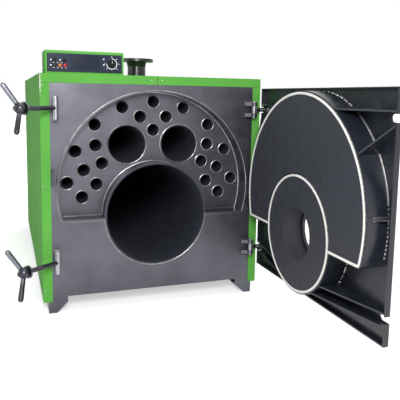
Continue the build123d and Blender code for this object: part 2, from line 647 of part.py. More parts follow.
def make_burner_flange():
    """Ring on the outside of the door that the burner bolts to."""
    y0 = DOOR_OUTSIDE - BURNER_FLANGE_THICK
    flange = pipe_y(PAN_HOLE / 2 + BURNER_FLANGE_WIDTH, BURNER_FLANGE_WIDTH, y0, DOOR_OUTSIDE, 0, FURNACE_Z)
    for index in range(BURNER_BOLTS):
        angle = radians((index + 0.5) * 360 / BURNER_BOLTS)
        x = BURNER_PCD / 2 * cos(angle)
        z = FURNACE_Z + BURNER_PCD / 2 * sin(angle)
        flange -= rod_y(BURNER_BOLT_HOLE / 2, y0 - 1, DOOR_OUTSIDE + 1, x, z)
    return flange


def make_nut(y0, x, z):
    """A hexagon nut on a rod along Y, with two flats upright."""
    hexagon = Rot(0, 0, 30) * RegularPolygon(NUT_FLATS / 2, 6, major_radius=False)
    return Pos(x, 0, z) * prism_y(hexagon, y0, y0 + NUT_HEIGHT) - rod_y(ROD_RADIUS + PIN_FIT, y0 - 1,
                                                                        y0 + NUT_HEIGHT + 1, x, z)


def make_hinge_bolts():
    """Eyebolts on the hinge pins with a nut on each side of the door sheet."""
    bolts = []
    nuts = []
    x = HINGE_PIN_X
    washer_y = DOOR_OUTSIDE - WASHER_THICK
    rod_end = washer_y - NUT_HEIGHT - HINGE_ROD_END
    half = HINGE_BARREL / 2
    for z in BOLT_ZS:
        bolt = rod_z(BARREL_RADIUS, z - half, z + half, x, PIN_Y) + rod_y(ROD_RADIUS, rod_end, PIN_Y, x, z)
        bolts.append(bolt - rod_z(PIN_RADIUS + PIN_FIT, z - half - 1, z + half + 1, x, PIN_Y))
        washer = pipe_y(WASHER_RADIUS, WASHER_RADIUS - ROD_RADIUS - PIN_FIT, washer_y, DOOR_OUTSIDE, x, z)
        nuts.append(make_nut(DOOR_INSIDE, x, z))
        nuts.append(make_nut(washer_y - NUT_HEIGHT, x, z) + washer)
    return {"hinge_bolts": Compound(bolts), "hinge_nuts": Compound(nuts)}


def open_door(shape):
    """Swing a piece of the shut door a quarter turn about the hinge pins."""
    return Pos(HINGE_PIN_X, PIN_Y, 0) * Rot(0, 0, 90) * Pos(-HINGE_PIN_X, -PIN_Y, 0) * shape


def make_clamp_bolt():
    """An eyebolt about its pin at the origin, pointing along -X."""
    half = CLAMP_BARREL / 2
    bolt = rod_z(BARREL_RADIUS, -half, half) + rod_x(ROD_RADIUS, -ROD_REACH, 0)
    return bolt - rod_z(PIN_RADIUS + PIN_FIT, -half - 1, half + 1)


def make_handle_nut():
    """A two-armed handle nut on the clamp bolt, with both arms leaning outwards."""
    centre = Pos(-HUB_DISTANCE, 0, 0)
    disc_end = -HUB_DISTANCE + HUB_RADIUS
    handle = centre * Sphere(HUB_RADIUS) + rod_x(HUB_DISC_RADIUS, disc_end - HUB_DISC_THICK, disc_end)
    handle -= rod_x(ROD_RADIUS + PIN_FIT, -HUB_DISTANCE - 2 * HUB_RADIUS, 0)
    shaft = ARM_LENGTH - ARM_TIP_RADIUS - ARM_ROOT
    arm = Pos(0, 0, ARM_ROOT + shaft / 2) * Cone(ARM_ROOT_RADIUS, ARM_TIP_RADIUS, shaft)
    arm += Pos(0, 0, ARM_ROOT + shaft) * Sphere(ARM_TIP_RADIUS)
    for turn in (0, 180):
        handle += centre * Rot(turn - ARM_ROLL, 0, 0) * Rot(0, -ARM_LEAN, 0) * arm
    return handle


def make_clamps():
    """Upper and lower clamps, swung back beside the jacket."""
    made = {}
    for name, z in zip(("upper", "lower"), BOLT_ZS):
        place = Pos(CLAMP_PIN_X, PIN_Y, z) * Rot(0, 0, CLAMP_REST_TURN)
        made["clamp_bolt_" + name] = place * make_clamp_bolt()
        made["handle_nut_" + name] = place * make_handle_nut()
    return made


def make_door():
    """Every piece of the door, swung open."""
    pieces = {"door_pan": make_door_pan(), "burner_flange": make_burner_flange()}
    pieces.update(make_plug())
    pieces.update(make_ribs())
    pieces.update(make_hinge_bolts())
    return {name: open_door(shape) for name, shape in pieces.items()}


def build():
    """All nodes of the boiler by name."""
    nodes = make_jacket()
    nodes["feet_front"] = make_feet(PLATE_THICK, 1)
    nodes["feet_rear"] = make_feet(REAR_PLATE_Y, -1)
    nodes["flow_nozzle"] = make_nozzle(FLOW_Y)
    nodes["return_nozzle"] = make_nozzle(RETURN_NOZZLE_Y)
    for group in (make_front, make_vessel, make_rear, make_panel, make_brackets, make_door, make_clamps):
        nodes.update(group())
    return nodes


os.makedirs("parts", exist_ok=True)
for node_name, node_shape in build().items():
    export_step(Pos(SOLE_X, -SOLE_Y, 0) * node_shape, "parts/" + node_name + ".step")
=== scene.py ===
import math

import bpy
from bpy.props import FloatProperty, FloatVectorProperty, IntProperty, PointerProperty, StringProperty
from mathutils import Matrix, Vector


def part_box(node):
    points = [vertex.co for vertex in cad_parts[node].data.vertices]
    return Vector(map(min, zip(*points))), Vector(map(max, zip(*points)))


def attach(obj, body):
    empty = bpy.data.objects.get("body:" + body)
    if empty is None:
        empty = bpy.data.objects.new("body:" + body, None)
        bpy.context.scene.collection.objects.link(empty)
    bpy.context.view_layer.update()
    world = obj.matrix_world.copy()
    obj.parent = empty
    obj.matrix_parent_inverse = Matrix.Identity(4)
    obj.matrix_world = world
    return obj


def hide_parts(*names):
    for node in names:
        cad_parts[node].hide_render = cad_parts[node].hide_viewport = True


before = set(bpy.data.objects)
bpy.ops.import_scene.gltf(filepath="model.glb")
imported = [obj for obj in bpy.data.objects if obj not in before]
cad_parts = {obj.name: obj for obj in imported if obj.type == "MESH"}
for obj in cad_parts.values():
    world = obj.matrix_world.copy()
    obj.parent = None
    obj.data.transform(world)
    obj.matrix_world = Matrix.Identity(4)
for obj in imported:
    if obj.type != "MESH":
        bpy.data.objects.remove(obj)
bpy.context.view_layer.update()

bl_info = {
    "name": "Three-pass boiler",
    "version": (1, 0, 0),
    "blender": (4, 5, 0),
    "location": "3D View > Sidebar > Boiler",
    "description": "Finishes, welds, fasteners and printing of a hot-water boiler with its front door open",
    "category": "Add Mesh",
}

MM = 0.001
FACING_FRONT = (math.radians(90), 0, 0)


def middle(name, axis):
    """Middle of a node's box along one axis."""
    low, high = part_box(name)
    return (low[axis] + high[axis]) / 2


def exact(value):
    """A measure of the frame's single-precision meshes, to a hundredth of a millimetre."""
    return round(value, 5)


def half(name, axis):
    """Half of a node's size along one axis."""
    low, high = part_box(name)
    return exact((high[axis] - low[axis]) / 2)


# Lengths are in metres, except where a name says otherwise

# Shell, furnace and front plate
AXIS_X = middle("front_plate", 0)
FRONT_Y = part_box("front_plate")[0].y
TUBE_PLATE_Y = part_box("tube_plate")[0].y
SHELL_Z = exact(middle("shell", 2))
SHELL_RADIUS = half("shell", 2)
SHELL_WALL = 0.010
SHELL_BORE = SHELL_RADIUS - SHELL_WALL
FURNACE_Z = exact(middle("furnace_tube", 2))
FURNACE_RADIUS = 0.2925
SHELF_Z = exact(middle("recess_shelves", 2))
HALF_SHELF = half("recess_shelves", 2)

# Sooty black and painted shade reach out from the furnace's axis: to its tube's inner wall, or past every
# other tube
FURNACE_SOOT_AND_SHADE_RADIUS = 0.289
WHOLE_SOOT_AND_SHADE_RADIUS = 2.0

# Tube rows: radius about the shell's axis, and the places taken, in steps of ROW_DEGREES
FIRE_RADIUS = 0.035
RETURN_RADIUS = 0.1095
ROW_DEGREES = 21.5
FIRE_ROWS = (
    (0.486, (0, 1, 2, 3, 4)),
    (0.407, (0.5, 2.5, 3.5, 4.5)),
    (0.325, (0, 3, 4)),
)
RETURN_ROW_RADIUS = 0.288
RETURN_ROW_DEGREES = 32.0

# Jacket
JACKET_FRONT_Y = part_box("jacket_left")[0].y
WORN_HEIGHT = 1.174
WORN_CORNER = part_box("jacket_left")[0] + Vector((0, 0, WORN_HEIGHT))
WORN_REACH = 0.0055
FRONT_SCREW_EDGE = 0.007
FRONT_SCREW_ZS = (0.13, 0.70, 1.12)
TOP_SCREW_REACH = 0.030
TOP_SCREW_DROP = 0.024
REAR_SCREWS = 6

# Door, with its collars, ropes and ribs
PAN_INSIDE_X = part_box("plug_lining")[1].x
PLUG_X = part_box("plug_lining")[0].x
DOOR_Y = middle("burner_rope", 1)
COLLAR_RADIUS = 0.555
RING_COLLAR_RADIUS = half("burner_collar", 1)
COLLAR_WELD_FOOT_Z = 0.53
DOOR_SHEET = 0.006
DOOR_EDGE_REACH = half("door_pan", 1) - DOOR_SHEET
SMALL_RIB_Z = 0.708
RING_ROPE_RADIUS = 0.2865
PLUG_ROPE_RADIUS = 0.5425
# The horseshoe's rope is level below this height, and the ring's rope nowhere
PLUG_ROPE_LEG_Z = 0.525
NO_LEG_Z = -1.0

# Hinges and clamps
HINGE_X = middle("hinge_pins", 0)
CLAMP_X = middle("clamp_pins", 0)
PIN_Y = middle("hinge_pins", 1)
BOLT_ZS = {side: exact(middle("clamp_bolt_" + side, 2)) for side in ("upper", "lower")}
CLAMP_TURN = math.radians(36)
# Along a clamp bolt from its pin: the handle's hub, and the ends of the thread
HUB_REACH = 0.218
CLAMP_THREAD = (0.105, 0.187)
THREAD_RADIUS = 0.01205
# The steel's tone changes this far from a hub's middle and from a pin's axis
HUB_TONE_RADIUS = 0.034
BARREL_TONE_RADIUS = 0.0145
# Ears: the pin's x, the left and right edge from it, the inner face from the bolt, the thickness
EARS = {
    "hinge": (HINGE_X, -0.049, 0.001, 0.0215, 0.020),
    "clamp": (CLAMP_X, -0.013, 0.013, 0.0445, 0.012),
}
PIN_HEAD_RADIUS = 0.0115
PIN_HEAD_HEIGHT = 0.006
# Each pin's x, and the reach of its ends from the bolt
PINS = {"hinge": (HINGE_X, 0.0415), "clamp": (CLAMP_X, 0.0565)}

# Control panel
FACE_LOW, FACE_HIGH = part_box("panel_face")
FACE_Y = FACE_LOW.y
DIAL_X = middle("thermostat_dial", 0)
DIAL_Z = middle("thermostat_dial", 2)
DIAL_FRONT_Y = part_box("thermostat_dial")[0].y
LAMP_Z = middle("panel_lamps", 2)
KNOB_Z = middle("panel_knobs", 2)
PLATE_THICK = 0.0012
PRINT_THICK = 0.0003
PRINT_EDGE = 0.0001
NUMBER_RADIUS = 0.0375
NUMBER_STEP_DEGREES = 45
SCALE_RADIUS = 0.0288
SCALE_WIDTH = 0.0032

# The camera and the lamps' aim; the floor is lifted to white away from its middle
FOCAL_PIXELS = 546.2
PICTURE_PIXELS = 400
SENSOR_MM = 36
PICTURE_SHIFT = -0.0875
CAMERA_YAW = math.radians(19.65)
CAMERA_PITCH = math.radians(7.17)
CAMERA_ROLL = math.radians(-0.98)
LAMP_TARGET = Vector((AXIS_X, 0.2, 0.7))
FLOOR_MIDDLE = (AXIS_X, 0.9, 0.0)


def row_centres(radius, step, places):
    """Tube centres (x, z) about the shell's axis, on both sides of the upright middle line."""
    centres = []
    for place in places:
        angle = math.radians(step * place)
        for side in ((1,) if place == 0 else (1, -1)):
            centres.append((AXIS_X + side * radius * math.sin(angle), SHELL_Z + radius * math.cos(angle)))
    return centres


def hub_place(z):
    """Middle of a handle nut's hub on its clamp bolt."""
    return (CLAMP_X - HUB_REACH * math.cos(CLAMP_TURN), PIN_Y - HUB_REACH * math.sin(CLAMP_TURN), z)


FIRE_CENTRES = [c for radius, places in FIRE_ROWS for c in row_centres(radius, ROW_DEGREES, places)]
RETURN_CENTRES = row_centres(RETURN_ROW_RADIUS, RETURN_ROW_DEGREES, (1,))


def hex_colour(name, description, default):
    """A colour property, as sRGB hex."""
    return StringProperty(name=name, description=description, default=default)


def length(name, description, default):
    """A length property, in metres."""
    return FloatProperty(name=name, description=description, default=default, unit="LENGTH")


class BoilerColours(bpy.types.PropertyGroup):
    """Colours of the finishes, as sRGB hex."""

    jacket: hex_colour("Jacket", "Green powder coat", "#60AA4A")
    zinc: hex_colour("Worn zinc", "Zinc under the rubbed coat", "#D8D8D4")
    plate: hex_colour("Plate", "Brushed boiler plate", "#5E5E66")
    weld: hex_colour("Weld", "Brushed weld metal", "#B4B0B0")
    ground_weld: hex_colour("Ground weld", "Door's welds", "#E8E8E4")
    # Painted shade: near black for the inside of the furnace and tubes, partly sooty deposit and partly
    # shade painted into the colour
    soot_and_shade: hex_colour("Soot and painted shade", "Inside of the furnace and tubes", "#181B25")
    door: hex_colour("Door", "Black heat-resistant paint", "#191C23")
    enamel: hex_colour("Enamel", "Black of the nozzles", "#101114")
    refractory: hex_colour("Refractory", "Coated concrete", "#20232B")
    rope: hex_colour("Rope", "Glass-fibre rope", "#E8E8E4")
    bright: hex_colour("Bright steel", "Zinc-plated steel", "#A6A6AB")
    iron: hex_colour("Forged steel", "Oiled black forged steel", "#4A4B51")
    handle: hex_colour("Handle arms", "Steel worn by hands", "#7C7F86")
    face: hex_colour("Panel face", "Printed panel film", "#20283A")
    window: hex_colour("Window", "Smoked acrylic", "#161E2E")
    plastic: hex_colour("Plastic", "Black dial and knobs", "#08090A")
    lamp_red: hex_colour("Red lamp", "Red lens", "#B01228")
    lamp_amber: hex_colour("Amber lamp", "Amber lens", "#B86A18")
    lamp_dark: hex_colour("Unlit lamp", "Dark lens", "#15161A")
    print: hex_colour("Print", "White print on the panel", "#F2F2F2")
    floor: hex_colour("Floor", "Pale studio floor", "#F4F4F4")


class BoilerSizes(bpy.types.PropertyGroup):
    """Sizes of the small pieces."""

    fire_weld: length("Fire tube weld", "Bead radius round a fire tube", 0.0034)
    return_weld: length("Return tube weld", "Bead radius round a return tube", 0.0042)
    seam_weld: length("Seam weld", "Bead radius on the plates' seams", 0.0048)
    weld_ripple: length("Weld ripple", "Height of a bead's ripples", 0.0007)
    thread_pitch: length("Thread pitch", "Pitch of the M24 threads", 0.003)
    screw_radius: length("Screw head", "Radius of the small screw heads", 0.0045)
    cover_bolts: IntProperty(name="Cover bolts", description="Bolts round the smoke box cover", default=16)
    camera_place: FloatVectorProperty(name="Camera", description="Place from the front plate's foot",
                                      default=(-0.794, -2.943, 1.1845), subtype="XYZ")


def linear(colour, alpha=1.0):
    """Linear colour of an sRGB hex value."""
    out = []
    for start in (1, 3, 5):
        value = int(colour[start:start + 2], 16) / 255
        out.append(value / 12.92 if value <= 0.04045 else ((value + 0.055) / 1.055) ** 2.4)
    return (*out, alpha)


def scaled(colour, share):
    """A colour made darker or lighter, kept below white."""
    return tuple(min(value * share, 0.95) for value in linear(colour)[:3]) + (1.0,)


def add_node(tree, kind, inputs=None, **settings):
    """Adds a node; an input is a value or another node's output."""
    made = tree.nodes.new(kind)
    for name, value in settings.items():
        setattr(made, name, value)
    for key, value in (inputs or {}).items():
        if isinstance(value, bpy.types.NodeSocket):
            tree.links.new(value, made.inputs[key])
        else:
            made.inputs[key].default_value = value
    return made


def new_material(name):
    """An empty node material and its Object coordinates."""
    material = bpy.data.materials.new(name)
    material.use_nodes = True
    tree = material.node_tree
    tree.nodes.clear()
    return material, tree, add_node(tree, "ShaderNodeTexCoord").outputs["Object"]


def close_material(material, tree, **inputs):
    """Ends a material in one Principled shader."""
    sockets = {name.replace("_", " "): value for name, value in inputs.items()}
    shader = add_node(tree, "ShaderNodeBsdfPrincipled", sockets)
    add_node(tree, "ShaderNodeOutputMaterial", {"Surface": shader.outputs[0]})
    return material


def blotches(tree, place, size, low, high, detail=4.0):
    """Soft noise with blotches about size metres across, from low to high."""
    noise = add_node(tree, "ShaderNodeTexNoise", {"Vector": place, "Scale": 1 / size, "Detail": detail})
    spread = add_node(tree, "ShaderNodeMapRange", {"Value": noise.outputs["Fac"], "From Min": 0.3,
                                                   "From Max": 0.7, "To Min": low, "To Max": high})
    return spread.outputs["Result"]


def mixed(tree, factor, first, second):
    """A colour between two colours."""
    return add_node(tree, "ShaderNodeMix", {0: factor, 6: first, 7: second}, data_type="RGBA").outputs[2]


def clouded(tree, place, colour, size, amount, share, detail=4.0):
    """A colour that goes part of the way to a darker or lighter share of itself in soft clouds."""
    clouds = blotches(tree, place, size, 0.0, amount, detail)
    return mixed(tree, clouds, linear(colour), scaled(colour, share))


def relief(tree, place, size, height, strength, detail=2.0):
    """Bump from noise of one grain size and height in metres."""
    noise = add_node(tree, "ShaderNodeTexNoise", {"Vector": place, "Scale": 1 / size, "Detail": detail})
    bump = add_node(tree, "ShaderNodeBump",
                    {"Height": noise.outputs["Fac"], "Strength": strength, "Distance": height})
    return bump.outputs[0]


def powder_coat(name, colour, zinc):
    """Polyester powder coat on folded steel sheet."""
    material, tree, place = new_material(name)
    # Sprayed and baked: one even colour, a dull gloss and an orange peel of about 4 mm, rubbed to
    # the zinc in 3 mm patches along the front left corner's fold
    tone = clouded(tree, place, colour, 0.35, 1.0, 0.86)
    away = add_node(tree, "ShaderNodeVectorMath", {0: place, 1: WORN_CORNER}, operation="SUBTRACT")
    squashed = add_node(tree, "ShaderNodeMapping",
                        {"Vector": away.outputs[0], "Scale": (1.0, 1.0, 0.14)}).outputs[0]
    reach = add_node(tree, "ShaderNodeVectorMath", {0: squashed}, operation="LENGTH").outputs["Value"]
    patchy = add_node(tree, "ShaderNodeMath", {0: reach, 1: blotches(tree, place, 0.006, 0.2, 1.8)},
                      operation="MULTIPLY").outputs[0]
    worn = add_node(tree, "ShaderNodeMath", {0: patchy, 1: WORN_REACH}, operation="LESS_THAN").outputs[0]
    return close_material(material, tree, Base_Color=mixed(tree, worn, tone, linear(zinc)),
                          Roughness=blotches(tree, place, 0.12, 0.56, 0.68), Specular_IOR_Level=0.02,
                          Normal=relief(tree, place, 4 * MM, 0.4 * MM, 0.12))


def boiler_plate(name, colour):
    """Hot-rolled boiler plate with its scale brushed off."""
    material, tree, place = new_material(name)
    # Rolled, then wire-brushed: grey metal with cloudy remains of scale and upright brush marks
    clouds = blotches(tree, place, 0.22, 0.0, 1.0, 6.0)
    pale = mixed(tree, clouds, scaled(colour, 1.12), scaled(colour, 0.72))
    stretched = add_node(tree, "ShaderNodeMapping", {"Vector": place, "Scale": (1.0, 1.0, 0.08)}).outputs[0]
    strokes = blotches(tree, stretched, 5 * MM, 0.0, 0.16, 3.0)
    tone = mixed(tree, strokes, pale, scaled(colour, 0.55))
    return close_material(material, tree, Base_Color=tone, Metallic=0.9,
                          Roughness=blotches(tree, place, 0.07, 0.36, 0.46, 6.0),
                          Normal=relief(tree, stretched, 5 * MM, 0.3 * MM, 0.07))


def sooty_shaded_tube(name, bare, soot_and_shade, bore):
    """Steel tube, sooty black with painted shade within a bore round the furnace's axis and bare beyond it.
    """
    material, tree, place = new_material(name)
    # Rolled or drawn steel, near black in clouds of about 5 cm within the bore: partly left dry and sooty
    # by the flame, partly painted shade for the dark inside of the tubes; and bare metal on the furnace
    # tube's rim and outside
    level = add_node(tree, "ShaderNodeMapping", {"Vector": place, "Scale": (1.0, 0.0, 1.0)}).outputs[0]
    reach = add_node(tree, "ShaderNodeVectorMath", {0: level, 1: (AXIS_X, 0.0, FURNACE_Z)},
                     operation="DISTANCE").outputs["Value"]
    inside = add_node(tree, "ShaderNodeMath", {0: reach, 1: bore}, operation="LESS_THAN").outputs[0]
    # Painted shade: this near-black clouded colour is partly flame-blackening, partly shade painted for the
    # dark inside of the tubes
    soot_and_shade_crust = clouded(tree, place, soot_and_shade, 0.05, 1.0, 2.2, 6.0)
    metal = add_node(tree, "ShaderNodeMapRange", {"Value": inside, "To Min": 0.9, "To Max": 0.0})
    rough = add_node(tree, "ShaderNodeMapRange", {"Value": inside, "To Min": 0.35, "To Max": 0.8})
    return close_material(material, tree, Base_Color=mixed(tree, inside, linear(bare), soot_and_shade_crust),
                          Metallic=metal.outputs["Result"], Roughness=rough.outputs["Result"],
                          Normal=relief(tree, place, 6 * MM, 0.8 * MM, 0.35, 4.0))


def weld_metal(name, colour):
    """Electric-arc weld, wire-brushed."""
    material, tree, place = new_material(name)
    # Laid molten and brushed: bright metal with brown-grey heat tint in patches of about 2 cm, left
    # dark over a hand's breadth where the brush didn't reach
    brushed = clouded(tree, place, colour, 0.02, 0.8, 0.4)
    tone = mixed(tree, blotches(tree, place, 0.14, 0.0, 0.9), brushed, scaled(colour, 0.22))
    return close_material(material, tree, Base_Color=tone, Metallic=0.9,
                          Roughness=blotches(tree, place, 0.01, 0.25, 0.45),
                          Normal=relief(tree, place, 2 * MM, 0.5 * MM, 0.4))


def heat_paint(name, colour, roughness):
    """Heat-resistant paint or enamel on steel."""
    material, tree, place = new_material(name)
    # Brushed on by hand: near black, uneven over a hand's breadth, with faint marks about 5 mm apart
    tone = clouded(tree, place, colour, 0.09, 0.7, 1.7)
    return close_material(material, tree, Base_Color=tone,
                          Roughness=blotches(tree, place, 0.06, roughness, roughness + 0.16),
                          Normal=relief(tree, place, 5 * MM, 0.5 * MM, 0.2, 4.0))


def coated_refractory(name, colour):
    """Cast refractory concrete under a slate-coloured wash."""
    material, tree, place = new_material(name)
    # Cast in the collars and painted: matte, slightly mottled, with pores about 9 mm apart
    tone = clouded(tree, place, colour, 0.06, 0.6, 1.3, 6.0)
    pores = add_node(tree, "ShaderNodeTexVoronoi", {"Vector": place, "Scale": 1 / (9 * MM)})
    hollow = add_node(tree, "ShaderNodeMapRange",
                      {"Value": pores.outputs["Distance"], "From Min": 0.05, "From Max": 0.3})
    bump = add_node(tree, "ShaderNodeBump",
                    {"Height": hollow.outputs["Result"], "Strength": 0.25, "Distance": 0.8 * MM})
    return close_material(material, tree, Base_Color=tone, Normal=bump.outputs[0],
                          Roughness=blotches(tree, place, 0.04, 0.55, 0.75))


def glass_rope(name, colour, radius, centre_z, leg_z, crest_x):
    """Braided glass-fibre rope laid round a ring, level below leg_z, its crest at crest_x and its flanks
    past the crest darkened with painted shade.
    """
    material, tree, place = new_material(name)
    # Braided: white strands that cross every 7 mm along the rope, matte, with grey between them
    split = add_node(tree, "ShaderNodeSeparateXYZ", {"Vector": place}).outputs
    across = add_node(tree, "ShaderNodeMath", {0: split["Y"], 1: DOOR_Y}, operation="SUBTRACT").outputs[0]
    rise = add_node(tree, "ShaderNodeMath", {0: split["Z"], 1: centre_z}, operation="SUBTRACT").outputs[0]
    angle = add_node(tree, "ShaderNodeMath", {0: rise, 1: across}, operation="ARCTAN2").outputs[0]
    round_ring = add_node(tree, "ShaderNodeMath", {0: angle, 1: radius}, operation="MULTIPLY").outputs[0]
    on_ring = add_node(tree, "ShaderNodeMath", {0: split["Z"], 1: leg_z}, operation="GREATER_THAN")
    along = add_node(tree, "ShaderNodeMix", {0: on_ring.outputs[0], 2: across, 3: round_ring},
                     data_type="FLOAT").outputs[0]
    waves = []
    for operation in ("ADD", "SUBTRACT"):
        slant = add_node(tree, "ShaderNodeMath", {0: along, 1: split["X"]}, operation=operation)
        turns = add_node(tree, "ShaderNodeMath", {0: slant.outputs[0], 1: 2 * math.pi / (7 * MM)},
                         operation="MULTIPLY")
        waves.append(add_node(tree, "ShaderNodeMath", {0: turns.outputs[0]}, operation="SINE").outputs[0])
    weave = add_node(tree, "ShaderNodeMath", {0: waves[0], 1: waves[1]}, operation="MULTIPLY").outputs[0]
    shade = add_node(tree, "ShaderNodeMapRange", {"Value": weave, "From Min": -1.0}).outputs["Result"]
    bump = add_node(tree, "ShaderNodeBump", {"Height": shade, "Strength": 0.7, "Distance": 1.2 * MM})
    # Painted shade: past the crest the rope's flanks go to a dark grey in soft blotches, standing for the
    # shade on its rounded sides
    flank = add_node(tree, "ShaderNodeMapRange", {"Value": split["X"], "From Min": crest_x + 1.2 * MM,
                                                  "From Max": crest_x + 3.5 * MM}).outputs["Result"]
    braid = mixed(tree, shade, scaled(colour, 0.72), linear(colour))
    painted_flank_shade = mixed(tree, blotches(tree, place, 0.01, 0.0, 1.0), scaled(colour, 0.1), scaled(colour, 0.45))
    return close_material(material, tree, Base_Color=mixed(tree, flank, braid, painted_flank_shade),
                          Roughness=0.9, Normal=bump.outputs[0])


def plated_steel(name, colour, roughness):
    """Turned steel, zinc-plated or oiled."""
    material, tree, place = new_material(name)
    # Turned, then plated or oiled: even metal with finger marks of about 2 cm and fine tool marks
    tone = clouded(tree, place, colour, 0.02, 0.7, 0.65)
    return close_material(material, tree, Base_Color=tone, Metallic=0.9,
                          Roughness=blotches(tree, place, 0.015, roughness, roughness + 0.14),
                          Normal=relief(tree, place, 1.5 * MM, 0.2 * MM, 0.12))


def two_tone_steel(name, near, far, centre, radius, height_counts):
    """Forged steel of one tone near a centre, or near its upright axis, and another tone beyond, with
    painted shade below the centre when height counts.
    """
    material, tree, place = new_material(name)
    # Forged and oiled black, and bright only where the lathe faced it or hands wear it
    squash = (1.0, 1.0, 1.0) if height_counts else (1.0, 1.0, 0.0)
    level = add_node(tree, "ShaderNodeMapping", {"Vector": place, "Scale": squash}).outputs[0]
    middle_point = tuple(value * scale for value, scale in zip(centre, squash))
    reach = add_node(tree, "ShaderNodeVectorMath", {0: level, 1: middle_point}, operation="DISTANCE")
    away = add_node(tree, "ShaderNodeMapRange", {"Value": reach.outputs["Value"], "From Min": radius,
                                                 "From Max": radius + 0.003}).outputs["Result"]
    inner = clouded(tree, place, near, 0.02, 0.7, 0.6)
    outer = clouded(tree, place, far, 0.02, 0.7, 0.6)
    if height_counts:
        # Painted shade: the arm that hangs below the hub is darkened to a quarter of the arm tone, standing
        # for the dark reflection it shows
        height = add_node(tree, "ShaderNodeSeparateXYZ", {"Vector": place}).outputs["Z"]
        above_painted_shade = add_node(tree, "ShaderNodeMapRange", {"Value": height, "From Min": centre[2] - 0.05,
                                                        "From Max": centre[2] - 0.01}).outputs["Result"]
        outer = mixed(tree, above_painted_shade, scaled(far, 0.25), outer)
    return close_material(material, tree, Base_Color=mixed(tree, away, inner, outer), Metallic=0.9,
                          Roughness=blotches(tree, place, 0.015, 0.26, 0.4),
                          Normal=relief(tree, place, 1.5 * MM, 0.2 * MM, 0.15))


def moulded_plastic(name, colour, roughness, gloss=0.5):
    """Plastic part, film or print."""
    material, tree, place = new_material(name)
    # Moulded, cast or printed: one plain colour, barely uneven over 5 cm, with a grain of 0.8 mm
    tone = clouded(tree, place, colour, 0.05, 0.6, 1.25)
    return close_material(material, tree, Base_Color=tone, Roughness=roughness, Specular_IOR_Level=gloss,
                          Normal=relief(tree, place, 0.8 * MM, 0.1 * MM, 0.15, 1.0))


def make_materials(colours):
    """Every finish by its plain name."""
    return {
        "green": powder_coat("green_powder_coat", colours.jacket, colours.zinc),
        "plate": boiler_plate("brushed_boiler_plate", colours.plate),
        "furnace": sooty_shaded_tube("sooty_shaded_furnace_tube", colours.plate, colours.soot_and_shade, FURNACE_SOOT_AND_SHADE_RADIUS),
        "tubes": sooty_shaded_tube("sooty_shaded_fire_tube", colours.plate, colours.soot_and_shade, WHOLE_SOOT_AND_SHADE_RADIUS),
        "weld": weld_metal("brushed_weld_metal", colours.weld),
        "bright_weld": weld_metal("ground_weld_metal", colours.ground_weld),
        "door": heat_paint("black_heat_resistant_paint", colours.door, 0.22),
        "gloss_black": heat_paint("glossy_black_enamel", colours.enamel, 0.2),
        "smoke_box": heat_paint("matt_black_smoke_box_paint", colours.door, 0.45),
        "refractory": coated_refractory("coated_refractory_concrete", colours.refractory),
        "ring_rope": glass_rope("glass_fibre_rope_ring", colours.rope, RING_ROPE_RADIUS, FURNACE_Z,
                                NO_LEG_Z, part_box("burner_rope")[0].x),
        "plug_rope": glass_rope("glass_fibre_rope_horseshoe", colours.rope, PLUG_ROPE_RADIUS, SHELL_Z,
                                PLUG_ROPE_LEG_Z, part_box("plug_rope")[0].x),
        "bright": plated_steel("zinc_plated_steel", colours.bright, 0.24),
        "iron": plated_steel("oiled_forged_steel", colours.iron, 0.3),
        "clamp_bolt": two_tone_steel("forged_clamp_bolt", colours.bright, colours.iron,
                                     (CLAMP_X, PIN_Y, 0), BARREL_TONE_RADIUS, False),
        "hinge_bolt": two_tone_steel("forged_hinge_bolt", colours.bright, colours.iron,
                                     (HINGE_X, PIN_Y, 0), BARREL_TONE_RADIUS, False),
        **{"handle_" + side: two_tone_steel("hand_worn_handle_steel_" + side, colours.iron, colours.handle,
                                            hub_place(z), HUB_TONE_RADIUS, True)
           for side, z in BOLT_ZS.items()},
        "face": moulded_plastic("printed_panel_film", colours.face, 0.4, 0.12),
        "window": moulded_plastic("smoked_acrylic_window", colours.window, 0.15, 0.25),
        "plastic": moulded_plastic("black_moulded_abs", colours.plastic, 0.5, 0.15),
        "print": moulded_plastic("white_screen_print", colours.print, 0.6),
        "lamp_red": moulded_plastic("red_lamp_lens", colours.lamp_red, 0.12),
        "lamp_amber": moulded_plastic("amber_lamp_lens", colours.lamp_amber, 0.12),
        "lamp_dark": moulded_plastic("unlit_lamp_lens", colours.lamp_dark, 0.12),
    }


NODE_FINISH = {
    "green": ("jacket_left", "jacket_right", "jacket_top_left", "jacket_top_right", "jacket_rear",
              "panel_housing"),
    "plate": ("front_plate", "recess_shelves", "tube_plate", "shell", "rear_plate", "feet_front",
              "feet_rear", "hinge_ears"),
    "furnace": ("furnace_tube",),
    "tubes": ("return_tubes", "fire_tubes_outer", "fire_tubes_middle", "fire_tubes_inner",
              "rear_tube_plate", "reversing_chamber"),
    "door": ("door_pan", "plug_collar", "burner_collar", "door_ribs_upper", "door_ribs_lower",
             "burner_flange"),
    "smoke_box": ("smoke_box", "smoke_box_cover", "flue_outlet"),
    "gloss_black": ("flow_nozzle", "return_nozzle"),
    "refractory": ("plug_lining", "burner_block"),
    "ring_rope": ("burner_rope",),
    "plug_rope": ("plug_rope",),
    "bright": ("hinge_pins", "clamp_ears", "clamp_pins", "hinge_nuts"),
    "handle_upper": ("handle_nut_upper",),
    "handle_lower": ("handle_nut_lower",),
    "iron": ("centring_lug",),
    "clamp_bolt": ("clamp_bolt_upper", "clamp_bolt_lower"),
    "hinge_bolt": ("hinge_bolts",),
    "face": ("panel_face",),
    "plastic": ("thermostat_dial", "panel_knobs"),
    "lamp_dark": ("panel_lamps",),
}
FINISHES = {}


def clear_selection():
    """Object mode with nothing selected."""
    if bpy.context.object is not None and bpy.context.object.mode != "OBJECT":
        bpy.ops.object.mode_set(mode="OBJECT")
    bpy.ops.object.select_all(action="DESELECT")


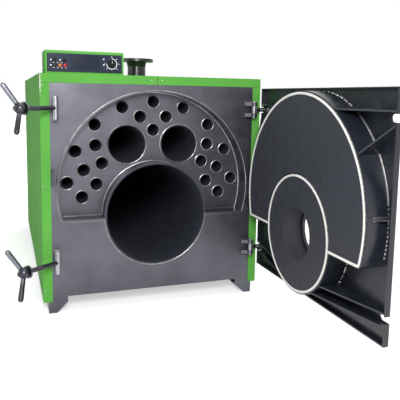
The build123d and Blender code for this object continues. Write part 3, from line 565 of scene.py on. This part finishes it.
def pick(obj, test):
    """Edit mode with only the faces selected whose place and normal pass the test."""
    if obj.mode != "OBJECT":
        bpy.ops.object.mode_set(mode="OBJECT")
    bpy.ops.object.mode_set(mode="EDIT")
    bpy.ops.mesh.select_mode(type="FACE")
    bpy.ops.mesh.select_all(action="DESELECT")
    bpy.ops.object.mode_set(mode="OBJECT")
    turn = obj.matrix_world.to_3x3()
    for face in obj.data.polygons:
        face.select = bool(test(obj.matrix_world @ face.center, turn @ face.normal))
    if not any(face.select for face in obj.data.polygons):
        raise RuntimeError("no face of " + obj.name + " passes the test")
    bpy.ops.object.mode_set(mode="EDIT")


def disc(radius, depth, place, turn=(0, 0, 0), sides=32):
    """A round or many-sided blank, the start of a turned or pressed piece."""
    clear_selection()
    bpy.ops.mesh.primitive_cylinder_add(vertices=sides, radius=radius, depth=depth, location=place,
                                        rotation=turn)
    return bpy.context.object


def slab(size, place):
    """A flat blank."""
    clear_selection()
    bpy.ops.mesh.primitive_cube_add(size=1, location=place)
    obj = bpy.context.object
    obj.scale = size
    bpy.ops.object.transform_apply(location=False, rotation=False, scale=True)
    return obj


def raised_slab(size, place, inset, rise):
    """A flat piece whose front face is drawn in and raised."""
    obj = slab(size, place)
    pick(obj, lambda where, normal: normal.y < -0.5)
    bpy.ops.mesh.inset(thickness=inset, depth=rise)
    return obj


def joined(objects):
    """Several objects made one."""
    clear_selection()
    for obj in objects:
        obj.select_set(True)
    bpy.context.view_layer.objects.active = objects[0]
    if len(objects) > 1:
        bpy.ops.object.join()
    return objects[0]


def copies(model, places):
    """The model set at each place, each copy with its own mesh, all made one object."""
    start = model.matrix_world.copy()
    made = [model]
    for matrix in places[1:]:
        copy = model.copy()
        copy.data = model.data.copy()
        copy.matrix_world = matrix @ start
        bpy.context.scene.collection.objects.link(copy)
        made.append(copy)
    model.matrix_world = places[0] @ start
    return joined(made)


def finish_piece(obj, name, body, finish, smooth_angle=35):
    """Applies the piece's place, names it, gives its finish and lets it ride on its body."""
    clear_selection()
    obj.select_set(True)
    bpy.context.view_layer.objects.active = obj
    bpy.ops.object.transform_apply(location=True, rotation=True, scale=True)
    bpy.ops.object.shade_smooth_by_angle(angle=math.radians(smooth_angle))
    obj.name = name
    obj.data.name = name
    obj.data.materials.clear()
    obj.data.materials.append(FINISHES[finish])
    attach(obj, body)
    return obj


def about(centre, axis, angle):
    """A turn about an axis through a centre."""
    turn = Matrix.Rotation(angle, 4, axis)
    return Matrix.Translation(centre) @ turn @ Matrix.Translation(-Vector(centre))


def turn_angle(point, centre, axis, start):
    """Angle of a point about the axis, counted from the start."""
    axis = Vector(axis).normalized()
    zero = (Vector(start) - Vector(centre)).normalized()
    ahead = axis.cross(zero)
    arm = Vector(point) - Vector(centre)
    return math.atan2(arm.dot(ahead), arm.dot(zero))


def ripple(obj, centre, axis, start, step, height):
    """Raises every second section of a bead, as the arc laid it."""
    bpy.ops.object.mode_set(mode="EDIT")
    bpy.ops.mesh.select_mode(type="VERT")
    bpy.ops.mesh.select_all(action="DESELECT")
    bpy.ops.object.mode_set(mode="OBJECT")
    for vertex in obj.data.vertices:
        angle = turn_angle(obj.matrix_world @ vertex.co, centre, axis, start)
        vertex.select = round((angle + 4 * math.pi) / step) % 2 == 0
    bpy.ops.object.mode_set(mode="EDIT")
    bpy.ops.transform.shrink_fatten(value=height)
    bpy.ops.object.mode_set(mode="OBJECT")


def weld_arc(centre, axis, start, angle, bead, steps):
    """A bead that runs from the start through an angle about the axis, closed at both ends."""
    clear_selection()
    side = Vector(axis).cross(Vector(start) - Vector(centre))
    turn = side.to_track_quat("Z", "Y").to_euler()
    bpy.ops.mesh.primitive_circle_add(vertices=8, radius=bead, fill_type="NOTHING", location=start,
                                      rotation=turn)
    arc = bpy.context.object
    bpy.ops.object.mode_set(mode="EDIT")
    bpy.ops.mesh.select_all(action="SELECT")
    bpy.ops.mesh.spin(steps=steps, angle=-angle, center=centre, axis=axis)
    bpy.ops.mesh.select_all(action="SELECT")
    bpy.ops.mesh.remove_doubles(threshold=1e-5)
    bpy.ops.mesh.fill_holes(sides=8)
    bpy.ops.mesh.select_all(action="SELECT")
    bpy.ops.mesh.normals_make_consistent(inside=False)
    bpy.ops.object.mode_set(mode="OBJECT")
    return arc


def stitches(centre, axis, start, angle, bead, count, share=0.6):
    """Short beads spaced evenly along an arc."""
    pitch = angle / count
    steps = max(6, round(math.degrees(pitch * share)))
    one = weld_arc(centre, axis, start, pitch * share, bead, steps)
    drawn_in(one)
    return copies(one, [about(centre, Vector(axis), pitch * (index + 0.2)) for index in range(count)])


def drawn_in(obj):
    """Draws the flat ends of a bead in, where the arc was broken off."""
    pick(obj, lambda place, normal: True)
    bpy.ops.object.mode_set(mode="OBJECT")
    for face in obj.data.polygons:
        face.select = len(face.vertices) > 4
    bpy.ops.object.mode_set(mode="EDIT")
    width = min(obj.dimensions)
    bpy.ops.mesh.inset(thickness=width * 0.22, depth=width * 0.18, use_individual=True)
    bpy.ops.object.mode_set(mode="OBJECT")


def straight_bead(start, end, bead):
    """A straight bead between two places, with drawn-in ends."""
    run = Vector(end) - Vector(start)
    turn = run.to_track_quat("Z", "Y").to_euler()
    obj = disc(bead, run.length, (Vector(start) + Vector(end)) / 2, turn, 10)
    drawn_in(obj)
    return obj


class BOILER_OT_finishes(bpy.types.Operator):
    """Gives every construction node its finish"""

    bl_idname = "boiler.finishes"
    bl_label = "Finishes"

    def execute(self, context):
        FINISHES.update(make_materials(context.scene.boiler_colours))
        for finish, names in NODE_FINISH.items():
            for name in names:
                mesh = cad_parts[name].data
                mesh.materials.clear()
                mesh.materials.append(FINISHES[finish])
        return {"FINISHED"}


class BOILER_OT_tube_welds(bpy.types.Operator):
    """Welds round the fire tubes and the return tubes"""

    bl_idname = "boiler.tube_welds"
    bl_label = "Tube welds"

    def execute(self, context):
        sizes = context.scene.boiler_sizes
        rows = (
            ("fire_tube_welds", FIRE_CENTRES, FIRE_RADIUS, sizes.fire_weld, 44),
            ("return_tube_welds", RETURN_CENTRES, RETURN_RADIUS, sizes.return_weld, 120),
        )
        centre = (0, TUBE_PLATE_Y, 0)
        for name, centres, tube_radius, bead, segments in rows:
            radius = tube_radius + bead / 2
            clear_selection()
            bpy.ops.mesh.primitive_torus_add(align="WORLD", location=centre, rotation=FACING_FRONT,
                                             major_radius=radius, minor_radius=bead,
                                             major_segments=segments, minor_segments=8)
            ring = context.object
            ripple(ring, centre, (0, 1, 0), (radius, TUBE_PLATE_Y, 0), 2 * math.pi / segments,
                   sizes.weld_ripple)
            ring = copies(ring, [Matrix.Translation((x, 0, z)) for x, z in centres])
            finish_piece(ring, name, "root", "weld")
        return {"FINISHED"}


class BOILER_OT_seam_welds(bpy.types.Operator):
    """Welds on the seams of the front plate, the recess and the furnace mouth"""

    bl_idname = "boiler.seam_welds"
    bl_label = "Seam welds"

    def execute(self, context):
        sizes = context.scene.boiler_sizes
        bead = sizes.seam_weld
        thin_bead = bead * 0.8
        axis = (0, 1, 0)
        drop = math.asin((SHELL_Z - SHELF_Z) / SHELL_RADIUS)
        mouth = math.asin((FURNACE_Z - SHELF_Z) / FURNACE_RADIUS)
        shell_reach = SHELL_RADIUS * math.cos(drop)
        mouth_reach = FURNACE_RADIUS * math.cos(mouth)
        shell = (AXIS_X, FRONT_Y, SHELL_Z)
        furnace = (AXIS_X, FRONT_Y, FURNACE_Z)
        recess = (AXIS_X, TUBE_PLATE_Y, SHELL_Z)
        furnace_back = (AXIS_X, TUBE_PLATE_Y, FURNACE_Z)
        bore_drop = math.asin((SHELL_Z - SHELF_Z - HALF_SHELF) / SHELL_BORE)
        bore_reach = SHELL_BORE * math.cos(bore_drop)
        high = SHELF_Z + HALF_SHELF
        low = SHELF_Z - HALF_SHELF
        arcs = (
            ("shell_rim_weld", shell, (AXIS_X - shell_reach, FRONT_Y, SHELF_Z), math.pi + 2 * drop, 220),
            ("furnace_mouth_weld", furnace, (AXIS_X + mouth_reach, FRONT_Y, SHELF_Z),
             math.pi - 2 * mouth, 120),
            ("recess_weld", recess, (AXIS_X - bore_reach, TUBE_PLATE_Y, high),
             math.pi + 2 * bore_drop, 220),
            ("furnace_recess_weld", furnace_back, (AXIS_X - mouth_reach, TUBE_PLATE_Y, high),
             math.pi + 2 * mouth, 120),
        )
        for name, centre, start, angle, steps in arcs:
            arc = weld_arc(centre, axis, start, angle, bead, steps)
            ripple(arc, centre, axis, start, angle / steps, sizes.weld_ripple)
            finish_piece(arc, name, "root", "weld")
        beads = []
        for side in (1, -1):
            near = AXIS_X + side * (mouth_reach + bead)
            far = AXIS_X + side * (shell_reach - bead)
            beads.append(straight_bead((near, FRONT_Y, low), (far, FRONT_Y, low), thin_bead))
            beads.append(straight_bead((near, TUBE_PLATE_Y, high), (far - side * 0.012, TUBE_PLATE_Y, high),
                                       thin_bead))
        finish_piece(joined(beads), "shelf_welds", "root", "weld")
        return {"FINISHED"}


class BOILER_OT_door_welds(bpy.types.Operator):
    """Stitch welds where the door's collars and ribs meet its sheet"""

    bl_idname = "boiler.door_welds"
    bl_label = "Door welds"

    def execute(self, context):
        bead = context.scene.boiler_sizes.seam_weld
        axis = (1, 0, 0)
        centre = (PAN_INSIDE_X, DOOR_Y, SHELL_Z)
        drop = math.asin((SHELL_Z - COLLAR_WELD_FOOT_Z) / COLLAR_RADIUS)
        start = Vector((PAN_INSIDE_X, DOOR_Y + COLLAR_RADIUS * math.cos(drop), COLLAR_WELD_FOOT_Z))
        whole = math.pi + 2 * drop
        # Each stretch of the arc: its first and last share, how many beads, and how much they fill
        stretches = (
            (0.0, 0.13, 14, 0.5),
            (0.13, 0.36, 2, 0.94),
            (0.36, 0.64, 14, 0.6),
            (0.64, 0.87, 2, 0.94),
            (0.87, 1.0, 14, 0.5),
        )
        arcs = []
        for first, last, count, share in stretches:
            begin = about(centre, Vector(axis), whole * first) @ start
            arcs.append(stitches(centre, axis, begin, whole * (last - first), bead, count, share))
        finish_piece(joined(arcs), "plug_collar_welds", "door", "bright_weld")
        ring_centre = (PAN_INSIDE_X, DOOR_Y, FURNACE_Z)
        dip = math.radians(8)
        start = (PAN_INSIDE_X, DOOR_Y - RING_COLLAR_RADIUS * math.cos(dip),
                 FURNACE_Z - RING_COLLAR_RADIUS * math.sin(dip))
        arc = stitches(ring_centre, axis, start, math.pi - 2 * dip, bead, 18, 0.7)
        finish_piece(arc, "burner_collar_welds", "door", "bright_weld")
        reach = COLLAR_RADIUS * math.cos(math.asin((SMALL_RIB_Z - SHELL_Z) / COLLAR_RADIUS))
        beads = []
        for side in (1, -1):
            root_y = DOOR_Y + side * (reach + 0.002)
            lip_y = DOOR_Y + side * DOOR_EDGE_REACH
            for level in (SMALL_RIB_Z - 0.005, SMALL_RIB_Z + 0.005):
                beads.append(straight_bead((PAN_INSIDE_X - 0.006, root_y, level),
                                           (PLUG_X + 0.030, root_y, level), bead))
                beads.append(straight_bead((PAN_INSIDE_X, root_y + side * 0.006, level),
                                           (PAN_INSIDE_X, lip_y - side * 0.004, level), bead * 0.8))
        finish_piece(joined(beads), "small_rib_welds", "door", "bright_weld")
        return {"FINISHED"}


class BOILER_OT_ear_welds(bpy.types.Operator):
    """Welds that hold the hinge ears and the clamp ears on the front plate"""

    bl_idname = "boiler.ear_welds"
    bl_label = "Ear welds"

    def execute(self, context):
        bead = context.scene.boiler_sizes.seam_weld * 0.8
        for name, (pin_x, left, right, inner, thick) in EARS.items():
            beads = []
            for z in BOLT_ZS.values():
                for level in (z + inner, z + inner + thick, z - inner, z - inner - thick):
                    beads.append(straight_bead((pin_x + left, FRONT_Y, level),
                                               (pin_x + right, FRONT_Y, level), bead))
            finish_piece(joined(beads), name + "_ear_welds", "root", "weld")
        return {"FINISHED"}


class BOILER_OT_pins(bpy.types.Operator):
    """Heads on the hinge pins and the clamp pins"""

    bl_idname = "boiler.pins"
    bl_label = "Pin heads"

    def execute(self, context):
        height = PIN_HEAD_HEIGHT
        for name, (x, reach) in PINS.items():
            heads = []
            for z in BOLT_ZS.values():
                for side in (1, -1):
                    level = z + side * reach
                    head = disc(PIN_HEAD_RADIUS, height, (x, PIN_Y, level + side * height / 2), sides=24)
                    pick(head, lambda place, normal: (place.z - level) * side > height * 0.9)
                    bpy.ops.mesh.inset(thickness=0.0022, depth=0.0016)
                    bpy.ops.mesh.inset(thickness=0.003, depth=0.0004)
                    heads.append(head)
            finish_piece(joined(heads), name + "_pin_heads", "root", "bright")
        return {"FINISHED"}


def thread(start, end, radius, pitch):
    """The ridges of a screw thread along a rod."""
    run = Vector(end) - Vector(start)
    turns = max(2, round(run.length / pitch))
    clear_selection()
    bpy.ops.mesh.primitive_circle_add(vertices=24, radius=radius, fill_type="NGON", location=start,
                                      rotation=run.to_track_quat("Z", "Y").to_euler())
    obj = bpy.context.object
    bpy.ops.object.mode_set(mode="EDIT")
    bpy.ops.mesh.select_all(action="SELECT")
    step = run / turns / 2
    for index in range(2 * turns):
        crest = 1.05 if index % 2 == 0 else 1 / 1.05
        bpy.ops.mesh.extrude_region_move(TRANSFORM_OT_translate={"value": step})
        bpy.ops.transform.resize(value=(crest, crest, crest),
                                 center_override=Vector(start) + step * (index + 1))
    bpy.ops.mesh.select_all(action="SELECT")
    bpy.ops.mesh.normals_make_consistent(inside=False)
    bpy.ops.object.mode_set(mode="OBJECT")
    return obj


class BOILER_OT_threads(bpy.types.Operator):
    """Threads of the hinge bolts and the clamp bolts"""

    bl_idname = "boiler.threads"
    bl_label = "Threads"

    def execute(self, context):
        pitch = context.scene.boiler_sizes.thread_pitch
        rod_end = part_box("hinge_bolts")[1].x
        nuts_low, nuts_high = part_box("hinge_nuts")
        runs = []
        for z in BOLT_ZS.values():
            for first, last in ((nuts_low.x - 0.030, nuts_low.x - 0.0005),
                                (nuts_high.x + 0.0005, rod_end - 0.0015)):
                runs.append(thread((first, PIN_Y, z), (last, PIN_Y, z), THREAD_RADIUS, pitch))
        finish_piece(joined(runs), "hinge_threads", "door", "iron", 20)
        along = Vector((-math.cos(CLAMP_TURN), -math.sin(CLAMP_TURN), 0))
        for name, z in BOLT_ZS.items():
            pin = Vector((CLAMP_X, PIN_Y, z))
            first, last = (pin + along * reach for reach in CLAMP_THREAD)
            run = thread(first, last, THREAD_RADIUS, pitch)
            finish_piece(run, "clamp_thread_" + name, "clamp_" + name, "iron", 20)
        return {"FINISHED"}


def screw_head(place, radius, facing):
    """A domed screw head with a round recess, facing along +Y (1) or -Y (-1)."""
    height = radius * 0.5
    head = disc(radius, height, Vector(place) + Vector((0, facing * height / 2, 0)), FACING_FRONT, 16)
    top = place[1] + facing * height
    pick(head, lambda where, normal: abs(where.y - top) < height * 0.05)
    bpy.ops.mesh.inset(thickness=radius * 0.25, depth=radius * 0.12)
    bpy.ops.mesh.inset(thickness=radius * 0.3, depth=radius * 0.04)
    bpy.ops.mesh.inset(thickness=radius * 0.12, depth=-radius * 0.3)
    return head


class BOILER_OT_panel_fittings(bpy.types.Operator):
    """Window, lower trim, screws, lamp lenses and dial grip of the control panel"""

    bl_idname = "boiler.panel_fittings"
    bl_label = "Panel fittings"

    def execute(self, context):
        radius = context.scene.boiler_sizes.screw_radius
        width = FACE_HIGH.x - FACE_LOW.x
        plates = (
            ("panel_window", FACE_LOW.x + width * 0.31, FACE_LOW.x + width * 0.69, FACE_LOW.z + 0.018,
             FACE_HIGH.z - 0.006, "window"),
            ("panel_trim", FACE_LOW.x + 0.002, FACE_HIGH.x - 0.002, FACE_LOW.z + 0.002,
             FACE_LOW.z + 0.013, "face"),
        )
        for name, x0, x1, z0, z1, finish in plates:
            place = ((x0 + x1) / 2, FACE_Y - PLATE_THICK / 2, (z0 + z1) / 2)
            plate = raised_slab((x1 - x0, PLATE_THICK, z1 - z0), place, PLATE_THICK, PLATE_THICK / 2)
            finish_piece(plate, name, "root", finish, 15)
        screws = []
        for x in (FACE_LOW.x + 0.008, FACE_HIGH.x - 0.008):
            for z in (FACE_LOW.z + 0.020, FACE_HIGH.z - 0.008):
                screws.append(screw_head((x, FACE_Y, z), radius * 0.8, -1))
        finish_piece(joined(screws), "panel_screws", "root", "iron")
        self.lenses()
        self.grips()
        return {"FINISHED"}

    def lenses(self):
        """Domed lamp lenses in their bezels."""
        low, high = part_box("panel_lamps")
        radius = (high.z - low.z) / 2
        for index, finish in enumerate(("lamp_dark", "lamp_amber", "lamp_red")):
            x = low.x + radius + (high.x - low.x - 2 * radius) * index / 2
            lens = disc(radius * 1.08, 0.0055, (x, FACE_Y - 0.00275, LAMP_Z), FACING_FRONT)
            pick(lens, lambda place, normal: place.y < FACE_Y - 0.005)
            bpy.ops.mesh.inset(thickness=radius * 0.14, depth=0.0003)
            bpy.ops.mesh.inset(thickness=radius * 0.06, depth=-0.001)
            for rise in (0.0016, 0.0010, 0.0004):
                bpy.ops.mesh.inset(thickness=radius * 0.24, depth=rise)
            finish_piece(lens, finish + "_lens", "root", finish, 50)
            if index == 0:
                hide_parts("panel_lamps")

    def grips(self):
        """Raised grip bars on the thermostat dial and the knobs."""
        bar = raised_slab((0.007, 0.004, 0.034), (DIAL_X, DIAL_FRONT_Y - 0.0018, DIAL_Z), 0.0015, 0.0012)
        finish_piece(bar, "dial_grip", "thermostat_knob", "plastic", 20)
        low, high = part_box("panel_knobs")
        radius = (high.z - low.z) / 2
        bars = []
        for x in (low.x + radius, high.x - radius):
            size = (0.005, 0.003, 2 * radius * 0.85)
            bars.append(raised_slab(size, (x, low.y - 0.0012, KNOB_Z), 0.001, 0.0008))
        finish_piece(joined(bars), "knob_grips", "root", "plastic", 20)


class BOILER_OT_panel_print(bpy.types.Operator):
    """Thermostat scale, numbers and marks printed on the control panel"""

    bl_idname = "boiler.panel_print"
    bl_label = "Panel print"

    def execute(self, context):
        print_y = FACE_Y - 0.0004
        pieces = [self.scale_arc(print_y)]
        for index in range(7):
            angle = math.radians(-180 - NUMBER_STEP_DEGREES * index)
            place = (DIAL_X + NUMBER_RADIUS * math.cos(angle), print_y,
                     DIAL_Z - NUMBER_RADIUS * math.sin(angle))
            if place[2] < FACE_HIGH.z - 0.004:
                pieces.append(self.number(str(30 + 10 * index), place))
        low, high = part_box("panel_knobs")
        marks = [(low.x - 0.009, KNOB_Z), (high.x - 0.032, KNOB_Z), (low.x - 0.010, LAMP_Z),
                 (DIAL_X - 0.043, DIAL_Z + 0.024), (DIAL_X - 0.043, DIAL_Z - 0.006)]
        for x, z in marks:
            dot = disc(0.0036, PRINT_THICK, (x, print_y, z), FACING_FRONT, 20)
            pick(dot, lambda place, normal: place.y < print_y)
            bpy.ops.mesh.inset(thickness=0.0008, depth=PRINT_EDGE)
            pieces.append(dot)
        span = high.x - low.x
        for row_z, count in ((LAMP_Z - 0.0135, 4), ((LAMP_Z + KNOB_Z) / 2, 3)):
            for index in range(count):
                x = low.x + 0.004 + (span - 0.008) * index / 3
                size = (0.0065, PRINT_THICK, 0.0026)
                pieces.append(raised_slab(size, (x, print_y, row_z), 0.0006, PRINT_EDGE))
        finish_piece(joined(pieces), "panel_print", "root", "print")
        pointer = raised_slab((0.0016, 0.0006, 0.013), (DIAL_X, DIAL_FRONT_Y - 0.0053, DIAL_Z + 0.008),
                              0.0004, PRINT_EDGE)
        finish_piece(pointer, "dial_pointer", "thermostat_knob", "print")
        return {"FINISHED"}

    def scale_arc(self, print_y):
        """Three quarters of a ring, open at the upper left."""
        ring = disc(SCALE_RADIUS, PRINT_THICK, (DIAL_X, print_y, DIAL_Z), FACING_FRONT, 64)
        pick(ring, lambda place, normal: abs(normal.y) > 0.5)
        bpy.ops.mesh.inset(thickness=SCALE_WIDTH, depth=0)
        bpy.ops.mesh.bridge_edge_loops()
        pick(ring, lambda place, normal: place.x < DIAL_X - 0.0005 and place.z > DIAL_Z + 0.0005
             or abs(normal.y) > 0.5 and (place - Vector((DIAL_X, print_y, DIAL_Z))).length < 0.02)
        bpy.ops.mesh.delete(type="FACE")
        bpy.ops.mesh.select_all(action="SELECT")
        bpy.ops.mesh.fill_holes(sides=4)
        bpy.ops.mesh.select_all(action="SELECT")
        bpy.ops.mesh.normals_make_consistent(inside=False)
        bpy.ops.object.mode_set(mode="OBJECT")
        return ring

    def number(self, text, place):
        """A printed number."""
        clear_selection()
        bpy.ops.object.text_add(location=place, rotation=FACING_FRONT)
        obj = bpy.context.object
        obj.data.body = text
        obj.data.size = 0.0075
        obj.data.align_x = "CENTER"
        obj.data.align_y = "CENTER"
        obj.data.extrude = 0.00012
        obj.data.resolution_u = 3
        bpy.ops.object.convert(target="MESH")
        return bpy.context.object


class BOILER_OT_rear_fasteners(bpy.types.Operator):
    """Bolts of the smoke box cover and screws of the rear panel"""

    bl_idname = "boiler.rear_fasteners"
    bl_label = "Rear fasteners"

    def execute(self, context):
        sizes = context.scene.boiler_sizes
        cover_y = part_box("smoke_box_cover")[1].y
        bolt_x = AXIS_X + (SHELL_RADIUS + 0.0125)
        bolt = disc(0.0098, 0.0065, (bolt_x, cover_y + 0.00475, SHELL_Z), FACING_FRONT, 6)
        pick(bolt, lambda place, normal: place.y > cover_y + 0.0075)
        bpy.ops.mesh.inset(thickness=0.0012, depth=0.0006)
        washer = disc(0.0105, 0.0016, (bolt_x, cover_y + 0.0008, SHELL_Z), FACING_FRONT, 24)
        pick(washer, lambda place, normal: place.y > cover_y + 0.0015)
        bpy.ops.mesh.inset(thickness=0.001, depth=0.0002)
        bolt = joined([bolt, washer])
        turn = 2 * math.pi / sizes.cover_bolts
        centre = (AXIS_X, cover_y, SHELL_Z)
        bolt = copies(bolt, [about(centre, Vector((0, 1, 0)), turn * (index + 0.5))
                             for index in range(sizes.cover_bolts)])
        finish_piece(bolt, "cover_bolts", "root", "bright", 25)
        low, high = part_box("jacket_rear")
        rear_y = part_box("jacket_left")[1].y
        screw = screw_head((0, rear_y, 0), sizes.screw_radius, 1)
        pitch = (high.z - low.z) / REAR_SCREWS
        places = [Matrix.Translation((x, 0, low.z + pitch * (index + 0.5)))
                  for x in (low.x + 0.012, high.x - 0.012) for index in range(REAR_SCREWS)]
        finish_piece(copies(screw, places), "rear_panel_screws", "root", "bright")
        return {"FINISHED"}


class BOILER_OT_jacket_screws(bpy.types.Operator):
    """Screws that hold the jacket's front returns and the top covers"""

    bl_idname = "boiler.jacket_screws"
    bl_label = "Jacket screws"

    def execute(self, context):
        radius = context.scene.boiler_sizes.screw_radius * 0.8
        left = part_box("jacket_left")[0].x + FRONT_SCREW_EDGE
        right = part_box("jacket_right")[1].x - FRONT_SCREW_EDGE
        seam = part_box("jacket_top_left")[1]
        places = [(x, z) for x in (left, right) for z in FRONT_SCREW_ZS]
        places += [(seam.x + side * TOP_SCREW_REACH, seam.z - TOP_SCREW_DROP) for side in (-1, 1)]
        heads = [screw_head((x, JACKET_FRONT_Y, z), radius, -1) for x, z in places]
        finish_piece(joined(heads), "jacket_screws", "root", "bright")
        return {"FINISHED"}


def seen_ray(tree):
    """1 for rays from the camera, off metal and through glass, and 0 for the rays that light the boiler."""
    path = add_node(tree, "ShaderNodeLightPath").outputs
    seen = path["Is Camera Ray"]
    for other in ("Is Glossy Ray", "Is Transmission Ray"):
        seen = add_node(tree, "ShaderNodeMath", {0: seen, 1: path[other]}, operation="MAXIMUM").outputs[0]
    return seen


class BOILER_OT_stage(bpy.types.Operator):
    """Pale floor, soft lights and the camera"""

    bl_idname = "boiler.stage"
    bl_label = "Stage"

    def execute(self, context):
        scene = context.scene
        clear_selection()
        bpy.ops.mesh.primitive_plane_add(size=80, location=(AXIS_X, 0, 0))
        floor = context.object
        floor.name = "floor"
        floor.data.materials.append(self.floor_material(scene.boiler_colours.floor))
        self.world(scene)
        # Each lamp: its name, its place from the boiler's middle line, its width and its watts
        lights = (
            ("key", (-0.75, -3.1, 2.1), 1.1, 100),
            ("side", (-5.0, 0.5, 2.2), 3.0, 20),
            ("top", (0.4, 0.6, 5.6), 3.5, 120),
            ("back", (2.5, 6.0, 2.6), 3.0, 90),
        )
        for name, place, size, power in lights:
            data = bpy.data.lights.new(name, "AREA")
            data.energy = power
            data.size = size
            lamp = bpy.data.objects.new(name, data)
            lamp.location = Vector(place) + Vector((AXIS_X, 0, 0))
            lamp.rotation_euler = (LAMP_TARGET - lamp.location).to_track_quat("-Z", "Y").to_euler()
            scene.collection.objects.link(lamp)
        self.camera(scene)
        scene.view_settings.view_transform = "Standard"
        return {"FINISHED"}

    def floor_material(self, colour):
        """Painted studio floor; the camera sees it lifted to white outside the shadow."""
        material, tree, place = new_material("painted_studio_floor")
        shader = add_node(tree, "ShaderNodeBsdfPrincipled", {
            "Base Color": linear(colour), "Roughness": blotches(tree, place, 0.5, 0.75, 0.85),
        })
        reach = add_node(tree, "ShaderNodeVectorMath", {0: place, 1: FLOOR_MIDDLE}, operation="DISTANCE")
        far = add_node(tree, "ShaderNodeMapRange", {"Value": reach.outputs["Value"], "From Min": 2.0,
                                                    "From Max": 4.5, "To Min": 0.5, "To Max": 1.0})
        lift = add_node(tree, "ShaderNodeMath", {0: seen_ray(tree), 1: far.outputs["Result"]},
                        operation="MULTIPLY").outputs[0]
        white = add_node(tree, "ShaderNodeEmission", {"Color": (1, 1, 1, 1), "Strength": lift})
        both = add_node(tree, "ShaderNodeAddShader", {0: shader.outputs[0], 1: white.outputs[0]})
        add_node(tree, "ShaderNodeOutputMaterial", {"Surface": both.outputs[0]})
        return material

    def world(self, scene):
        """White for the camera, in metal and in glass, and a softer grey that lights the boiler."""
        scene.world = bpy.data.worlds.new("studio")
        scene.world.use_nodes = True
        tree = scene.world.node_tree
        tree.nodes.clear()
        strength = add_node(tree, "ShaderNodeMapRange",
                            {"Value": seen_ray(tree), "To Min": 0.3, "To Max": 1.0})
        back = add_node(tree, "ShaderNodeBackground",
                        {"Color": (1, 1, 1, 1), "Strength": strength.outputs["Result"]})
        add_node(tree, "ShaderNodeOutputWorld", {"Surface": back.outputs[0]})

    def camera(self, scene):
        """The photograph's view, with its focal length and its picture's width in pixels."""
        data = bpy.data.cameras.new("camera")
        data.sensor_width = SENSOR_MM
        data.lens = FOCAL_PIXELS / PICTURE_PIXELS * SENSOR_MM
        data.shift_y = PICTURE_SHIFT
        camera = bpy.data.objects.new("camera", data)
        right = Vector((math.cos(CAMERA_YAW), -math.sin(CAMERA_YAW), 0))
        forward = Vector((math.sin(CAMERA_YAW) * math.cos(CAMERA_PITCH),
                          math.cos(CAMERA_YAW) * math.cos(CAMERA_PITCH), -math.sin(CAMERA_PITCH)))
        down = forward.cross(right)
        level_x = math.cos(CAMERA_ROLL) * right + math.sin(CAMERA_ROLL) * down
        level_y = math.sin(CAMERA_ROLL) * right - math.cos(CAMERA_ROLL) * down
        rotation = Matrix((level_x, level_y, -forward)).transposed()
        place = Vector(scene.boiler_sizes.camera_place) + Vector((AXIS_X, FRONT_Y, 0))
        camera.matrix_world = Matrix.Translation(place) @ rotation.to_4x4()
        scene.collection.objects.link(camera)
        scene.camera = camera


class BOILER_PT_panel(bpy.types.Panel):
    """The boiler's pieces"""

    bl_idname = "BOILER_PT_panel"
    bl_label = "Boiler"
    bl_space_type = "VIEW_3D"
    bl_region_type = "UI"
    bl_category = "Boiler"

    def draw(self, context):
        column = self.layout.column()
        for operator in OPERATORS:
            column.operator(operator.bl_idname)
        for group in (context.scene.boiler_sizes, context.scene.boiler_colours):
            for name in group.__annotations__:
                column.prop(group, name)


OPERATORS = (
    BOILER_OT_finishes,
    BOILER_OT_stage,
    BOILER_OT_tube_welds,
    BOILER_OT_seam_welds,
    BOILER_OT_door_welds,
    BOILER_OT_ear_welds,
    BOILER_OT_pins,
    BOILER_OT_threads,
    BOILER_OT_panel_fittings,
    BOILER_OT_panel_print,
    BOILER_OT_rear_fasteners,
    BOILER_OT_jacket_screws,
)
CLASSES = (BoilerColours, BoilerSizes, BOILER_PT_panel) + OPERATORS


def register():
    """Makes the classes and the two property groups known."""
    for cls in CLASSES:
        bpy.utils.register_class(cls)
    bpy.types.Scene.boiler_colours = PointerProperty(type=BoilerColours)
    bpy.types.Scene.boiler_sizes = PointerProperty(type=BoilerSizes)


def unregister():
    """Takes them away again."""
    del bpy.types.Scene.boiler_sizes
    del bpy.types.Scene.boiler_colours
    for cls in reversed(CLASSES):
        bpy.utils.unregister_class(cls)


def main():
    """Builds every piece in order."""
    register()
    bpy.ops.boiler.finishes()
    bpy.ops.boiler.stage()
    bpy.ops.boiler.tube_welds()
    bpy.ops.boiler.seam_welds()
    bpy.ops.boiler.door_welds()
    bpy.ops.boiler.ear_welds()
    bpy.ops.boiler.pins()
    bpy.ops.boiler.threads()
    bpy.ops.boiler.panel_fittings()
    bpy.ops.boiler.panel_print()
    bpy.ops.boiler.rear_fasteners()
    bpy.ops.boiler.jacket_screws()


if __name__ == "__main__":
    main()
